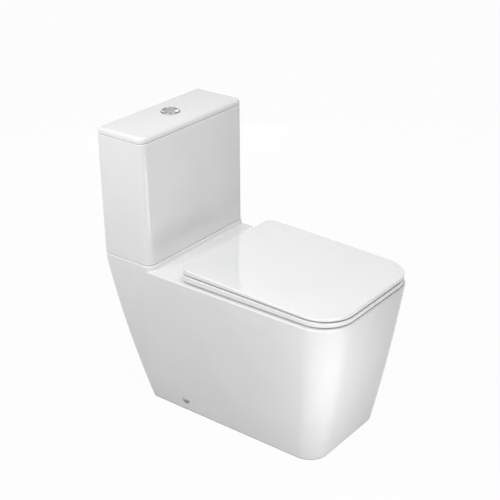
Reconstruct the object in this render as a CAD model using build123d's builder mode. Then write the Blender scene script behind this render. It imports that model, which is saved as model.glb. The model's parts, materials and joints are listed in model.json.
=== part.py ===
from build123d import *
import os
from math import atan, cos, sin, sqrt, tan

# Close coupled toilet. X is the width, the front faces -Y, the floor is Z = 0 and the origin
# is under the middle of the whole object. Setbacks are measured from the wall behind it.
# Sizes are in millimetres.

# Pan, outside
rim_width = 372
pan_depth = 678
rim_height = 394
foot_width = 286
foot_front_setback = 65
foot_rear_setback = 104
side_bulge = 2.3
front_bulge = 3.4
rear_bulge = 8.8
rim_corner = 82
foot_corner = 52
pan_rear_corner = 6
rim_edge = 5
wall = 12
deck_thickness = 16
plinth_height = 13
plinth_edge = 3
plinth_root = 10
plinth_inset = 0.3
section_gap = 0.2

# Pan, bowl and waterways
bowl_width = 262
bowl_front_margin = 46
bowl_rear_setback = 314
bowl_depth = 238
bowl_corner = 104
bowl_wall = 10
bowl_edge = 7
sump_width = 96
sump_length = 122
sump_setback = 346
sump_corner = 44
trap_bore = 70
trap_sump_rise = 3
trap_wall = 9
trap_crest_rise = 86
trap_crest_radius = 58
trap_heel_radius = 70
outlet_height = 180
outlet_diameter = 102
outlet_bore = 84
outlet_setback = 38
outlet_length = 104
inlet_bore = 56
inlet_recess_diameter = 104
inlet_recess_depth = 23
duct_width = 72
duct_height = 34
duct_wall = 12

# Cistern and its lid
cistern_gap = 2.6
cistern_top_width = 382.8
cistern_side_flare = 2.8
cistern_top_depth = 141.8
cistern_front_lean = 3.6
cistern_height = 313
cistern_corner = 20
cistern_rear_corner = 12
cistern_wall = 9
cistern_floor_thickness = 14
cistern_edge = 3
cistern_lid_gap = 2.4
cistern_lid_thickness = 13
cistern_lid_edge = 9
cistern_lid_lip_depth = 8
cistern_lid_lip_wall = 8
cistern_lid_lip_clearance = 2
fitting_setback = 64

# Seat
seat_side_inset = 1
seat_rear_setback = 236
seat_front_corner = 82
seat_rear_corner = 20
seat_opening_width = 226
seat_opening_front_margin = 62
seat_opening_rear_margin = 82
seat_opening_corner = 96
ring_gap = 4
ring_rear_thickness = 18.5
ring_front_thickness = 12.5
ring_top_edge = 6
ring_bottom_edge = 4
seat_gap = 3.6
lid_rear_thickness = 12.4
lid_front_thickness = 9.6
lid_top_edge = 7
lid_bottom_edge = 1.5
buffer_length = 30
buffer_width = 14
buffer_clearance = 0.2
buffer_side_margin = 36
buffer_front_margin = 118
buffer_rear_margin = 96

# Seat hinge
hinge_spacing = 155
hinge_rise = 13
hinge_overhang = 7
hinge_pin_diameter = 8
hinge_post_width = 19
hinge_post_radius = 7.5
hinge_foot_thickness = 2.5
hinge_lug_width = 16
hinge_lug_radius = 7
hinge_side_gap = 1
hinge_notch_depth = 22
ring_knuckle_width = 16
running_clearance = 0.05

# Studs, bolts and wing nuts
stud_diameter = 8
stud_socket_depth = 7
hinge_stud_drop = 40
hinge_hole_diameter = 12
bolt_fill_gap = 7
cistern_bolt_hole_diameter = 10
pan_bolt_hole_diameter = 12
cistern_bolt_drop = 74
bolt_head_diameter = 18
bolt_head_height = 6
washer_diameter = 26
washer_thickness = 4
wing_nut_diameter = 17
wing_nut_height = 10
wing_span = 26
wing_height = 14
wing_thickness = 3
thread_clearance = 0.05

# Flush button
button_bezel_diameter = 50
button_bezel_height = 4.5
button_bezel_edge = 2
button_tube_diameter = 41
button_bore = 37.6
button_tube_drop = 14
button_tube_floor = 3
button_hole_clearance = 0.5
button_nut_diameter = 56
button_nut_thickness = 8
button_clearance = 0.3
button_recess = 1.2
button_thickness = 12
button_split_offset = 6
button_edge = 1
push_rod_diameter = 5
push_rod_offset = 11
push_rod_clearance = 0.4

# Flush valve
gasket_thickness = 2
valve_flange_diameter = 86
valve_flange_thickness = 8
valve_tail_diameter = 58
valve_tail_bore = 46
valve_tail_drop = 20
valve_hole_clearance = 1
valve_backnut_diameter = 80
valve_backnut_thickness = 9
coupling_washer_diameter = 100
coupling_clearance = 1
cage_height = 48
cage_ring_thickness = 6
cage_ring_wall = 8
cage_leg_width = 8
tower_diameter = 76
tower_wall = 3
tower_height = 104
tower_top_thickness = 4
overflow_diameter = 34
overflow_wall = 2.5
overflow_height = 172
overflow_guide_clearance = 1
seal_diameter = 62
seal_thickness = 4
seal_clearance = 0.4
seal_plate_diameter = 56
head_post_height = 54
head_post_offset = 30
head_post_width = 10
head_post_thickness = 6
head_plate_width = 60
head_plate_thickness = 4
lever_pivot_offset = 24
lever_pivot_rise = 13
lever_inner_arm = 18
lever_outer_arm = 20
lever_width = 8
lever_thickness = 6
lever_pin_diameter = 4
lever_cheek_gap = 1.5
lever_cheek_thickness = 3
lever_cheek_width = 10
lever_play = 0.8
lift_strap_gap = 2
lift_strap_thickness = 4
lift_strap_width = 10
lift_collar_height = 8
lift_collar_wall = 6
half_rod_guide_drop = 24
half_rod_guide_height = 10
half_rod_guide_wall = 4
half_rod_guide_clearance = 0.5
half_rod_weight_drop = 35
half_rod_weight_height = 30
half_rod_weight_width = 24
half_rod_weight_depth = 14

# Fill valve
fill_side_margin = 62.6
fill_tail_diameter = 22
fill_tail_drop = 40
inlet_diameter = 20.9
inlet_length = 30
fill_tail_bore = 11
fill_flange_diameter = 42
fill_flange_thickness = 5
fill_hole_clearance = 0.8
fill_backnut_diameter = 38
fill_backnut_thickness = 10
fill_pan_hole_diameter = 48
fill_column_diameter = 26
fill_column_height = 193
fill_head_diameter = 46
fill_head_height = 34
fill_float_diameter = 64
fill_float_height = 60
fill_float_rise = 108
fill_float_clearance = 0.5
float_rod_diameter = 5
float_rod_offset = 28
float_arm_length = 36
float_arm_width = 8
float_arm_thickness = 6
float_arm_pivot_offset = 2
float_arm_pivot_rise = 7
float_arm_play = 1

# Floor fixing
fixing_setback = 215
fixing_height = 36
cut_margin = 1
fixing_hole_diameter = 7
cap_recess_diameter = 15
cap_recess_depth = 5
cap_diameter = 21
cap_height = 3.6
cap_gap = 0.15
cap_plug_wall = 1
cap_plug_clearance = 0.2
side_screw_diameter = 5.5
side_screw_length = 30
side_screw_head_diameter = 11.4
side_screw_head_height = 3.4
bracket_length = 50
bracket_height = 60
bracket_reach = 42
bracket_thickness = 6
bracket_wall_gap = 1.5
bracket_floor_hole_diameter = 7
bracket_hole_clearance = 0.35

# Levels and places that follow from the sizes above
deck_underside = rim_height - deck_thickness
cistern_base_width = cistern_top_width - 2 * cistern_side_flare
cistern_base_depth = cistern_top_depth + cistern_front_lean
plinth_top = rim_height + plinth_height
cistern_base = plinth_top + cistern_gap
cistern_floor = cistern_base + cistern_floor_thickness
cistern_top = cistern_base + cistern_height
cistern_lid_base = cistern_top + cistern_lid_gap
cistern_lid_top = cistern_lid_base + cistern_lid_thickness
wall_y = pan_depth / 2
fitting_y = wall_y - fitting_setback
fixing_y = wall_y - fixing_setback
recess_floor = plinth_top - inlet_recess_depth
duct_top = recess_floor - duct_wall
duct_floor = duct_top - duct_height
section_shares = (0, 1 / 3, 2 / 3, 1)
bowl_shares = (0, 0.35, 0.7, 1)

seat_width = rim_width - 2 * seat_side_inset
seat_front = wall_y - pan_depth
seat_rear = wall_y - seat_rear_setback
ring_base = rim_height + ring_gap
ring_top_rear = ring_base + ring_rear_thickness
ring_top_front = ring_base + ring_front_thickness
lid_base_rear = ring_top_rear + seat_gap
lid_base_front = ring_top_front + seat_gap
lid_top_rear = lid_base_rear + lid_rear_thickness
lid_top_front = lid_base_front + lid_front_thickness
seat_slope = atan((ring_top_rear - ring_top_front) / (seat_rear - seat_front))
hinge_y = seat_rear - hinge_overhang
hinge_z = rim_height + hinge_rise
post_inner = (hinge_spacing - hinge_post_width) / 2
post_outer = (hinge_spacing + hinge_post_width) / 2
lug_outer = post_inner - hinge_side_gap
lug_inner = lug_outer - hinge_lug_width
knuckle_inner = post_outer + hinge_side_gap
knuckle_outer = knuckle_inner + ring_knuckle_width
notch_inner = lug_inner - hinge_side_gap

valve_seat = cistern_floor + gasket_thickness + valve_flange_thickness
tower_base = valve_seat + cage_height + cage_ring_thickness
tower_top = tower_base + tower_height
seal_base = valve_seat + seal_clearance
overflow_base = seal_base + seal_thickness
overflow_top = overflow_base + overflow_height
head_plate_base = tower_top + head_plate_thickness + head_post_height
head_plate_top = head_plate_base + head_plate_thickness
lever_pivot_z = head_plate_top + lever_pivot_rise
lever_top = lever_pivot_z + lever_thickness / 2
lip_base = lever_top + lever_play
lever_tip = lever_pivot_offset + lever_outer_arm
strap_inner = lever_tip + lift_strap_gap
strap_outer = strap_inner + lift_strap_thickness
push_rod_bottom = lever_top + lever_play
bezel_top = cistern_lid_top + button_bezel_height
button_top = bezel_top - button_recess
button_base = button_top - button_thickness

fill_offset = cistern_base_width / 2 - fill_side_margin
bolt_offset = fill_offset - (washer_diameter + fill_flange_diameter) / 2 - bolt_fill_gap
fill_flange_base = cistern_floor + gasket_thickness
fill_column_base = fill_flange_base + fill_flange_thickness
fill_head_base = fill_column_base + fill_column_height
fill_head_top = fill_head_base + fill_head_height
float_base = fill_column_base + fill_float_rise
float_top = float_base + fill_float_height
float_arm_pivot_z = fill_head_top + float_arm_pivot_rise
float_arm_pivot_x = fill_offset + float_arm_pivot_offset
float_rod_top = float_arm_pivot_z - float_arm_thickness / 2 - float_arm_play


def taper(level, foot, rim, bulge):
    # A size that runs from the foot to the rim in a shallow outward curve
    share = level / rim_height
    return foot + (rim - foot) * share + 4 * bulge * share * (1 - share)


def side_at(level):
    return taper(level, foot_width / 2, rim_width / 2, side_bulge)


def front_at(level):
    return wall_y - taper(level, pan_depth - foot_front_setback, pan_depth, front_bulge)


def rear_at(level):
    return wall_y + taper(level, -foot_rear_setback, 0, rear_bulge)


def corner_at(level):
    return taper(level, foot_corner, rim_corner, 0)


def plan_outline(half_width, front, rear, front_corner, rear_corner):
    # Rectangle seen from above, with one radius at the front and one at the rear
    with Locations((0, (front + rear) / 2)):
        Rectangle(2 * half_width, rear - front)
    fillet(vertices().group_by(Axis.Y)[0], front_corner)
    fillet(vertices().group_by(Axis.Y)[-1], rear_corner)


def bowl_outline(depth_share, grow):
    # Bowl section between the rim opening and the sump
    wide = 1 - depth_share**2
    upright = 1 - depth_share**3
    sump_rear = wall_y - sump_setback
    sump_front = sump_rear - sump_length
    bowl_front = wall_y - pan_depth + bowl_front_margin
    corner = sump_corner + (bowl_corner - sump_corner) * (1 - depth_share) + grow
    plan_outline(
        sump_width / 2 + (bowl_width - sump_width) / 2 * wide + grow,
        sump_front + (bowl_front - sump_front) * wide - grow,
        sump_rear + (sump_setback - bowl_rear_setback) * upright + grow,
        corner,
        corner,
    )


def cylinder_between(x, y, bottom, top, diameter, mode=Mode.ADD):
    # Upright round bar or hole from one level to another
    with Locations((x, y, (bottom + top) / 2)):
        Cylinder(diameter / 2, top - bottom, mode=mode)


def block_between(low, high, mode=Mode.ADD):
    # Box from its lowest corner to its highest corner
    low = Vector(low)
    high = Vector(high)
    size = high - low
    with Locations((low + high) * 0.5):
        Box(size.X, size.Y, size.Z, mode=mode)


def crossbar(x_start, x_end, y, z, diameter, mode=Mode.ADD):
    # Round bar or hole along X
    with Locations(((x_start + x_end) / 2, y, z)):
        Cylinder(diameter / 2, abs(x_end - x_start), rotation=(0, 90, 0), mode=mode)


def depthbar(x, y, z, length, diameter, mode=Mode.ADD):
    # Round bar or hole along Y, centred on its middle
    with Locations((x, y, z)):
        Cylinder(diameter / 2, length, rotation=(90, 0, 0), mode=mode)


def broad_faces(builder):
    # The two largest faces of a slab, the lower one first
    return builder.faces().sort_by(SortBy.AREA)[-2:].sort_by(Axis.Z)


def wing_nut(x, y, top):
    # Round nut with two upright wings, hanging under a face at the given level
    bottom = top - wing_nut_height
    cylinder_between(x, y, bottom, top, wing_nut_diameter)
    block_between(
        (x - wing_thickness / 2, y - wing_span / 2, top - wing_height),
        (x + wing_thickness / 2, y + wing_span / 2, bottom + wing_thickness),
    )
    cylinder_between(x, y, top - wing_height, top, stud_diameter + 2 * thread_clearance, Mode.SUBTRACT)


def fixing_plane(side):
    # Plane on the pan's outer face at a floor fixing, looking outwards
    above = side_at(fixing_height + cut_margin)
    below = side_at(fixing_height - cut_margin)
    lean = atan((above - below) / (2 * cut_margin))
    return Plane(
        origin=(side * side_at(fixing_height), fixing_y, fixing_height),
        x_dir=(0, 1, 0),
        z_dir=(side * cos(lean), 0, -sin(lean)),
    )


def round_on(plane, start, end, diameter, mode=Mode.ADD):
    # Round bar or hole square to a plane
    with Locations(plane.offset((start + end) / 2)):
        Cylinder(diameter / 2, end - start, mode=mode)


os.makedirs("parts", exist_ok=True)
finished = []


def finish(builder, label):
    builder.part.label = label
    export_step(builder.part, f"parts/{label}.step")
    finished.append(label)


# Forms that the sections of the pan's casting share: the bowl inside and outside, and the trapway
bowl_floor = rim_height - bowl_depth
duct_mouth = wall_y - sump_setback
trap_start = (wall_y - sump_setback - sump_length / 3, bowl_floor + trap_bore / 2 + trap_sump_rise)
trap_crest = (trap_start[0] + trap_crest_rise, trap_start[1] + trap_crest_rise)
trap_heel = (trap_crest[0] + trap_crest[1] - outlet_height, outlet_height)
trap_end = (wall_y - outlet_setback - outlet_length / 2, outlet_height)

with BuildPart() as bowl_inside:
    for share in bowl_shares:
        with BuildSketch(Plane.XY.offset(rim_height - share * bowl_depth)):
            bowl_outline(share, 0)
    loft()

with BuildPart() as bowl_outside:
    for share in bowl_shares:
        level = rim_height - share * (bowl_depth + bowl_wall)
        with BuildSketch(Plane.XY.offset(level)):
            bowl_outline(share, bowl_wall)
    loft()
    top = rim_height + cut_margin
    with Locations((0, 0, (deck_underside - section_gap + top) / 2)):
        Box(2 * rim_width, 2 * pan_depth, top - deck_underside + section_gap, mode=Mode.SUBTRACT)

with BuildPart() as trap_inside:
    with BuildLine(Plane.YZ) as trap_path:
        FilletPolyline(
            trap_start, trap_crest, trap_heel, trap_end, radius=[trap_crest_radius, trap_heel_radius]
        )
    with BuildSketch(Plane(origin=trap_path.line @ 0, z_dir=trap_path.line % 0)):
        Circle(trap_bore / 2)
    sweep(path=trap_path.line)

# Pan: skirt, deck and plinth of the glazed casting
with BuildPart() as pan:
    for share in section_shares:
        level = share * rim_height
        with BuildSketch(Plane.XY.offset(level)):
            plan_outline(side_at(level), front_at(level), rear_at(level), corner_at(level), pan_rear_corner)
    loft()
    fillet(pan.faces().sort_by(Axis.Z)[-1].edges(), rim_edge)
    # Hollow under the deck, open to the floor and to the wall
    for share in section_shares:
        level = share * deck_underside
        with BuildSketch(Plane.XY.offset(level)):
            plan_outline(
                side_at(level) - wall,
                front_at(level) + wall,
                wall_y + wall,
                corner_at(level) - wall,
                pan_rear_corner,
            )
    loft(mode=Mode.SUBTRACT)
    # Plinth under the cistern, flush with the skirt
    for level in (rim_height - plinth_root, plinth_top):
        with BuildSketch(Plane.XY.offset(level)):
            plan_outline(
                side_at(level) - plinth_inset,
                wall_y - cistern_base_depth,
                wall_y - plinth_inset,
                cistern_corner,
                pan_rear_corner,
            )
    loft(ruled=True)
    fillet(pan.faces().sort_by(Axis.Z)[-1].edges(), plinth_edge)
    # Mouth of the bowl, with a soft edge
    add(bowl_inside.part, mode=Mode.SUBTRACT)
    rim_edges = pan.edges().filter_by_position(Axis.Z, rim_height - cut_margin, rim_height + cut_margin)
    bowl_reach = bowl_width / 2 + cut_margin
    bowl_rear = wall_y - bowl_rear_setback + cut_margin
    rim_edges = rim_edges.filter_by_position(Axis.X, -bowl_reach, bowl_reach)
    fillet(rim_edges.filter_by_position(Axis.Y, front_at(rim_height), bowl_rear), bowl_edge)
    # Holes for the flush water, the seat hinges, the cistern bolts, the water inlet and the fixings
    cylinder_between(0, fitting_y, deck_underside, recess_floor, inlet_bore, Mode.SUBTRACT)
    cylinder_between(0, fitting_y, recess_floor, plinth_top, inlet_recess_diameter, Mode.SUBTRACT)
    for side in (-1, 1):
        cylinder_between(
            side * hinge_spacing / 2, hinge_y, deck_underside, rim_height, hinge_hole_diameter, Mode.SUBTRACT
        )
        cylinder_between(
            side * bolt_offset,
            fitting_y,
            deck_underside,
            plinth_top,
            pan_bolt_hole_diameter,
            Mode.SUBTRACT,
        )
        round_on(fixing_plane(side), -2 * wall, cut_margin, fixing_hole_diameter, Mode.SUBTRACT)
        round_on(fixing_plane(side), -cap_recess_depth, cut_margin, cap_recess_diameter, Mode.SUBTRACT)
    cylinder_between(
        fill_offset, fitting_y, deck_underside, plinth_top, fill_pan_hole_diameter, Mode.SUBTRACT
    )
finish(pan, "pan")

# Bowl of the casting, hung under the deck, with the ways in from the duct and out to the trap
with BuildPart() as pan_bowl:
    add(bowl_outside.part)
    add(bowl_inside.part, mode=Mode.SUBTRACT)
    add(trap_inside.part, mode=Mode.SUBTRACT)
    block_between(
        (-duct_width / 2, duct_mouth, duct_floor), (duct_width / 2, fitting_y, duct_top), Mode.SUBTRACT
    )
finish(pan_bowl, "pan_bowl")

# Flush duct of the casting, from under the cistern to the back of the bowl
with BuildPart() as pan_duct:
    duct_half = inlet_recess_diameter / 2 + duct_wall
    block_between(
        (-duct_half, duct_mouth, duct_floor - duct_wall),
        (duct_half, wall_y - wall, deck_underside - section_gap),
    )
    block_between(
        (-duct_width / 2, duct_mouth, duct_floor),
        (duct_width / 2, fitting_y + inlet_bore / 2, duct_top),
        Mode.SUBTRACT,
    )
    cylinder_between(0, fitting_y, duct_floor, deck_underside, inlet_bore, Mode.SUBTRACT)
    add(bowl_outside.part, mode=Mode.SUBTRACT)
finish(pan_duct, "pan_duct")

# Trapway of the casting, from the sump over the weir to the outlet
with BuildPart() as pan_trapway:
    with BuildSketch(Plane(origin=trap_path.line @ 0, z_dir=trap_path.line % 0)):
        Circle(trap_bore / 2 + trap_wall)
    sweep(path=trap_path.line)
    with BuildSketch(Plane.XZ.offset(outlet_setback - wall_y)):
        with Locations((0, outlet_height)):
            Circle(outlet_diameter / 2)
    extrude(amount=outlet_length)
    add(trap_inside.part, mode=Mode.SUBTRACT)
    with BuildSketch(Plane.XZ.offset(outlet_setback - wall_y)):
        with Locations((0, outlet_height)):
            Circle(outlet_bore / 2)
    extrude(amount=outlet_length / 2, mode=Mode.SUBTRACT)
    add(bowl_outside.part, mode=Mode.SUBTRACT)
finish(pan_trapway, "pan_trapway")

# Cistern: open tank with holes in its floor
with BuildPart() as cistern:
    for level, width, depth in (
        (cistern_base, cistern_base_width, cistern_base_depth),
        (cistern_top, cistern_top_width, cistern_top_depth),
    ):
        with BuildSketch(Plane.XY.offset(level)):
            rear = wall_y + cistern_rear_corner
            plan_outline(width / 2, wall_y - depth, rear, cistern_corner, cistern_rear_corner)
    loft(ruled=True)
    # Flat back on the wall
    split(bisect_by=Plane.XZ.offset(-wall_y))
    fillet(cistern.faces().sort_by(Axis.Y)[-1].edges().group_by(Axis.Z)[1], cistern_rear_corner)
    fillet(cistern.faces().sort_by(Axis.Z)[-1].edges(), cistern_edge)
    fillet(cistern.faces().sort_by(Axis.Z)[0].edges(), cistern_edge)
    for level, width, depth in (
        (cistern_floor, cistern_base_width, cistern_base_depth),
        (cistern_top, cistern_top_width, cistern_top_depth),
    ):
        with BuildSketch(Plane.XY.offset(level)):
            plan_outline(
                width / 2 - cistern_wall,
                wall_y - depth + cistern_wall,
                wall_y - cistern_wall,
                cistern_corner - cistern_wall,
                cistern_rear_corner - cistern_wall,
            )
    loft(ruled=True, mode=Mode.SUBTRACT)
    cylinder_between(
        0,
        fitting_y,
        cistern_base,
        cistern_floor,
        valve_tail_diameter + 2 * valve_hole_clearance,
        Mode.SUBTRACT,
    )
    cylinder_between(
        fill_offset,
        fitting_y,
        cistern_base,
        cistern_floor,
        fill_tail_diameter + 2 * fill_hole_clearance,
        Mode.SUBTRACT,
    )
    for side in (-1, 1):
        cylinder_between(
            side * bolt_offset,
            fitting_y,
            cistern_base,
            cistern_floor,
            cistern_bolt_hole_diameter,
            Mode.SUBTRACT,
        )
finish(cistern, "cistern")

# Cistern lid: slab with a soft edge and a locating lip, bored for the flush button
with BuildPart() as cistern_lid:
    with BuildSketch(Plane.XY.offset(cistern_lid_base)):
        plan_outline(
            cistern_top_width / 2, wall_y - cistern_top_depth, wall_y, cistern_corner, cistern_rear_corner
        )
    extrude(amount=cistern_lid_thickness)
    fillet(cistern_lid.faces().sort_by(Axis.Z)[-1].edges(), cistern_lid_edge)
    lip_margin = cistern_wall + cistern_lid_lip_clearance
    with BuildSketch(Plane.XY.offset(cistern_lid_base - cistern_lid_lip_depth)):
        plan_outline(
            cistern_top_width / 2 - lip_margin,
            wall_y - cistern_top_depth + lip_margin,
            wall_y - lip_margin,
            cistern_corner - cistern_wall,
            cistern_corner - cistern_wall,
        )
        offset(amount=-cistern_lid_lip_wall, mode=Mode.SUBTRACT)
    extrude(amount=cistern_lid_lip_depth)
    cylinder_between(
        0,
        fitting_y,
        cistern_lid_base,
        cistern_lid_top,
        button_tube_diameter + 2 * button_hole_clearance,
        Mode.SUBTRACT,
    )
finish(cistern_lid, "cistern_lid")

# Seat ring: flat band with a soft edge, notched at the rear for the hinges
with BuildPart() as seat_ring:
    with BuildSketch(Plane.XY.offset(ring_base)):
        plan_outline(seat_width / 2, seat_front, seat_rear, seat_front_corner, seat_rear_corner)
    extrude(amount=ring_rear_thickness)
    with BuildSketch(Plane.YZ):
        with BuildLine():
            Polyline(
                (seat_front, ring_base),
                (seat_rear, ring_base),
                (seat_rear, ring_top_rear),
                (seat_front, ring_top_front),
                close=True,
            )
        make_face()
    extrude(amount=seat_width, both=True, mode=Mode.INTERSECT)
    with BuildSketch(Plane.XY.offset(ring_base)):
        plan_outline(
            seat_opening_width / 2,
            seat_front + seat_opening_front_margin,
            seat_rear - seat_opening_rear_margin,
            seat_opening_corner,
            seat_opening_corner,
        )
    extrude(amount=ring_rear_thickness, mode=Mode.SUBTRACT)
    fillet(broad_faces(seat_ring)[-1].edges(), ring_top_edge)
    fillet(broad_faces(seat_ring)[0].edges(), ring_bottom_edge)
    for side in (-1, 1):
        near = sorted((side * notch_inner, side * knuckle_inner))
        block_between(
            (near[0], hinge_y + hinge_overhang - hinge_notch_depth, ring_base),
            (near[1], seat_rear, ring_top_rear),
            Mode.SUBTRACT,
        )
        crossbar(
            side * notch_inner,
            side * knuckle_outer,
            hinge_y,
            hinge_z,
            hinge_pin_diameter + 2 * running_clearance,
            Mode.SUBTRACT,
        )
finish(seat_ring, "seat_ring")

# Seat lid: thin slab with a soft top edge
with BuildPart() as seat_lid:
    with BuildSketch(Plane.XY.offset(lid_base_front)):
        plan_outline(seat_width / 2, seat_front, seat_rear, seat_front_corner, seat_rear_corner)
    extrude(amount=lid_top_rear - lid_base_front)
    with BuildSketch(Plane.YZ):
        with BuildLine():
            Polyline(
                (seat_front, lid_base_front),
                (seat_rear, lid_base_rear),
                (seat_rear, lid_top_rear),
                (seat_front, lid_top_front),
                close=True,
            )
        make_face()
    extrude(amount=seat_width, both=True, mode=Mode.INTERSECT)
    fillet(broad_faces(seat_lid)[-1].edges(), lid_top_edge)
    fillet(broad_faces(seat_lid)[0].edges(), lid_bottom_edge)
finish(seat_lid, "seat_lid")

# Lugs that carry the lid on the hinge pins, under its rear edge
lug_top = lid_base_rear - (hinge_overhang + hinge_lug_radius) * tan(seat_slope)
with BuildPart() as lid_lugs:
    for side in (-1, 1):
        near = sorted((side * lug_inner, side * lug_outer))
        crossbar(near[0], near[1], hinge_y, hinge_z, 2 * hinge_lug_radius)
        block_between(
            (near[0], hinge_y - hinge_lug_radius, hinge_z),
            (near[1], hinge_y + hinge_lug_radius / 2, lug_top),
        )
        crossbar(
            near[0], near[1], hinge_y, hinge_z, hinge_pin_diameter + 2 * running_clearance, Mode.SUBTRACT
        )
finish(lid_lugs, "lid_lugs")

# Rubber buffers under the ring and under the lid
buffer_x = seat_width / 2 - buffer_side_margin
buffer_rows = (seat_front + buffer_front_margin, seat_rear - buffer_rear_margin)
with BuildPart() as ring_buffers:
    with BuildSketch(Plane.XY.offset(rim_height + buffer_clearance)):
        with Locations(*[(side * buffer_x, row) for side in (-1, 1) for row in buffer_rows]):
            SlotOverall(buffer_length, buffer_width, rotation=90)
    extrude(amount=ring_gap - buffer_clearance)
finish(ring_buffers, "ring_buffers")

ring_top_plane = Plane(
    origin=(0, seat_rear, ring_top_rear), x_dir=(1, 0, 0), z_dir=(0, -sin(seat_slope), cos(seat_slope))
)
with BuildPart() as lid_buffers:
    with BuildSketch(ring_top_plane.offset(buffer_clearance)):
        with Locations(
            *[
                (side * buffer_x, (row - seat_rear) / cos(seat_slope))
                for side in (-1, 1)
                for row in buffer_rows
            ]
        ):
            SlotOverall(buffer_length, buffer_width, rotation=90)
    extrude(amount=seat_gap * cos(seat_slope) - buffer_clearance)
finish(lid_buffers, "lid_buffers")

# Hinge posts and their pins, one pair on each side
for side, name in ((-1, "left"), (1, "right")):
    post_span = sorted((side * post_inner, side * post_outer))
    with BuildPart() as hinge_post:
        crossbar(post_span[0], post_span[1], hinge_y, hinge_z, 2 * hinge_post_radius)
        block_between(
            (post_span[0], hinge_y - hinge_post_radius, rim_height),
            (post_span[1], hinge_y + hinge_post_radius, hinge_z),
        )
        cylinder_between(
            side * hinge_spacing / 2, hinge_y, rim_height, rim_height + hinge_foot_thickness, hinge_post_width
        )
        crossbar(
            post_span[0],
            post_span[1],
            hinge_y,
            hinge_z,
            hinge_pin_diameter + 2 * running_clearance,
            Mode.SUBTRACT,
        )
        cylinder_between(
            side * hinge_spacing / 2,
            hinge_y,
            rim_height,
            rim_height + stud_socket_depth,
            stud_diameter + 2 * thread_clearance,
            Mode.SUBTRACT,
        )
    finish(hinge_post, f"hinge_post_{name}")

    with BuildPart() as hinge_pin:
        crossbar(side * lug_inner, side * knuckle_outer, hinge_y, hinge_z, hinge_pin_diameter)
    finish(hinge_pin, f"hinge_pin_{name}")

# Hinge studs, their rubber washers and their wing nuts under the deck
with BuildPart() as hinge_studs:
    for side in (-1, 1):
        cylinder_between(
            side * hinge_spacing / 2,
            hinge_y,
            deck_underside - hinge_stud_drop,
            rim_height + stud_socket_depth,
            stud_diameter,
        )
finish(hinge_studs, "hinge_studs")

with BuildPart() as hinge_washers:
    for side in (-1, 1):
        cylinder_between(
            side * hinge_spacing / 2,
            hinge_y,
            deck_underside - washer_thickness,
            deck_underside,
            washer_diameter,
        )
        cylinder_between(
            side * hinge_spacing / 2,
            hinge_y,
            deck_underside - washer_thickness,
            deck_underside,
            stud_diameter + 2 * thread_clearance,
            Mode.SUBTRACT,
        )
finish(hinge_washers, "hinge_washers")

with BuildPart() as hinge_wing_nuts:
    for side in (-1, 1):
        wing_nut(side * hinge_spacing / 2, hinge_y, deck_underside - washer_thickness)
finish(hinge_wing_nuts, "hinge_wing_nuts")

# Cistern bolts, the rubber washers under their heads and the wing nuts under the deck
with BuildPart() as cistern_bolts:
    for side in (-1, 1):
        bolt_x = side * bolt_offset
        head_base = cistern_floor + washer_thickness
        cylinder_between(bolt_x, fitting_y, cistern_base - cistern_bolt_drop, head_base, stud_diameter)
        cylinder_between(bolt_x, fitting_y, head_base, head_base + bolt_head_height, bolt_head_diameter)
finish(cistern_bolts, "cistern_bolts")

with BuildPart() as cistern_washers:
    for side in (-1, 1):
        bolt_x = side * bolt_offset
        for base in (cistern_floor, deck_underside - washer_thickness):
            top = base + washer_thickness
            cylinder_between(bolt_x, fitting_y, base, top, washer_diameter)
            cylinder_between(
                bolt_x, fitting_y, base, top, stud_diameter + 2 * thread_clearance, Mode.SUBTRACT
            )
finish(cistern_washers, "cistern_washers")

with BuildPart() as cistern_wing_nuts:
    for side in (-1, 1):
        wing_nut(side * bolt_offset, fitting_y, deck_underside - washer_thickness)
finish(cistern_wing_nuts, "cistern_wing_nuts")

# Flush button: bezel with its threaded tube, ring nut, two buttons and their push rods
tube_bottom = cistern_lid_base - button_tube_drop
with BuildPart() as button_bezel:
    cylinder_between(0, fitting_y, cistern_lid_top, bezel_top, button_bezel_diameter)
    fillet(button_bezel.faces().sort_by(Axis.Z)[-1].edges(), button_bezel_edge)
    cylinder_between(0, fitting_y, tube_bottom, cistern_lid_top, button_tube_diameter)
    cylinder_between(
        0, fitting_y, tube_bottom + button_tube_floor, bezel_top, button_bore, Mode.SUBTRACT
    )
    for side in (-1, 1):
        cylinder_between(
            side * push_rod_offset,
            fitting_y,
            tube_bottom,
            tube_bottom + button_tube_floor,
            push_rod_diameter + 2 * push_rod_clearance,
            Mode.SUBTRACT,
        )
finish(button_bezel, "button_bezel")

with BuildPart() as button_nut:
    cylinder_between(
        0, fitting_y, cistern_lid_base - button_nut_thickness, cistern_lid_base, button_nut_diameter
    )
    cylinder_between(
        0,
        fitting_y,
        cistern_lid_base - button_nut_thickness,
        cistern_lid_base,
        button_tube_diameter + 2 * thread_clearance,
        Mode.SUBTRACT,
    )
finish(button_nut, "button_nut")

button_radius = button_bore / 2 - button_clearance
split_full = -button_split_offset + button_clearance
split_half = -button_split_offset - button_clearance
for name, rod_x, kept in (
    ("full", push_rod_offset, (split_full, button_radius)),
    ("half", -push_rod_offset, (-button_radius, split_half)),
):
    with BuildPart() as button:
        cylinder_between(0, fitting_y, button_base, button_top, 2 * button_radius)
        with Locations(((kept[0] + kept[1]) / 2, fitting_y, (button_base + button_top) / 2)):
            Box(kept[1] - kept[0], 2 * button_radius, button_thickness, mode=Mode.INTERSECT)
        fillet(button.faces().sort_by(Axis.Z)[-1].edges(), button_edge)
    finish(button, f"button_{name}")

    with BuildPart() as push_rod:
        tip_centre = push_rod_bottom + push_rod_diameter / 2
        cylinder_between(rod_x, fitting_y, tip_centre, button_base, push_rod_diameter)
        with Locations((rod_x, fitting_y, tip_centre)):
            Sphere(push_rod_diameter / 2)
    finish(push_rod, f"{name}_push_rod")

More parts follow.
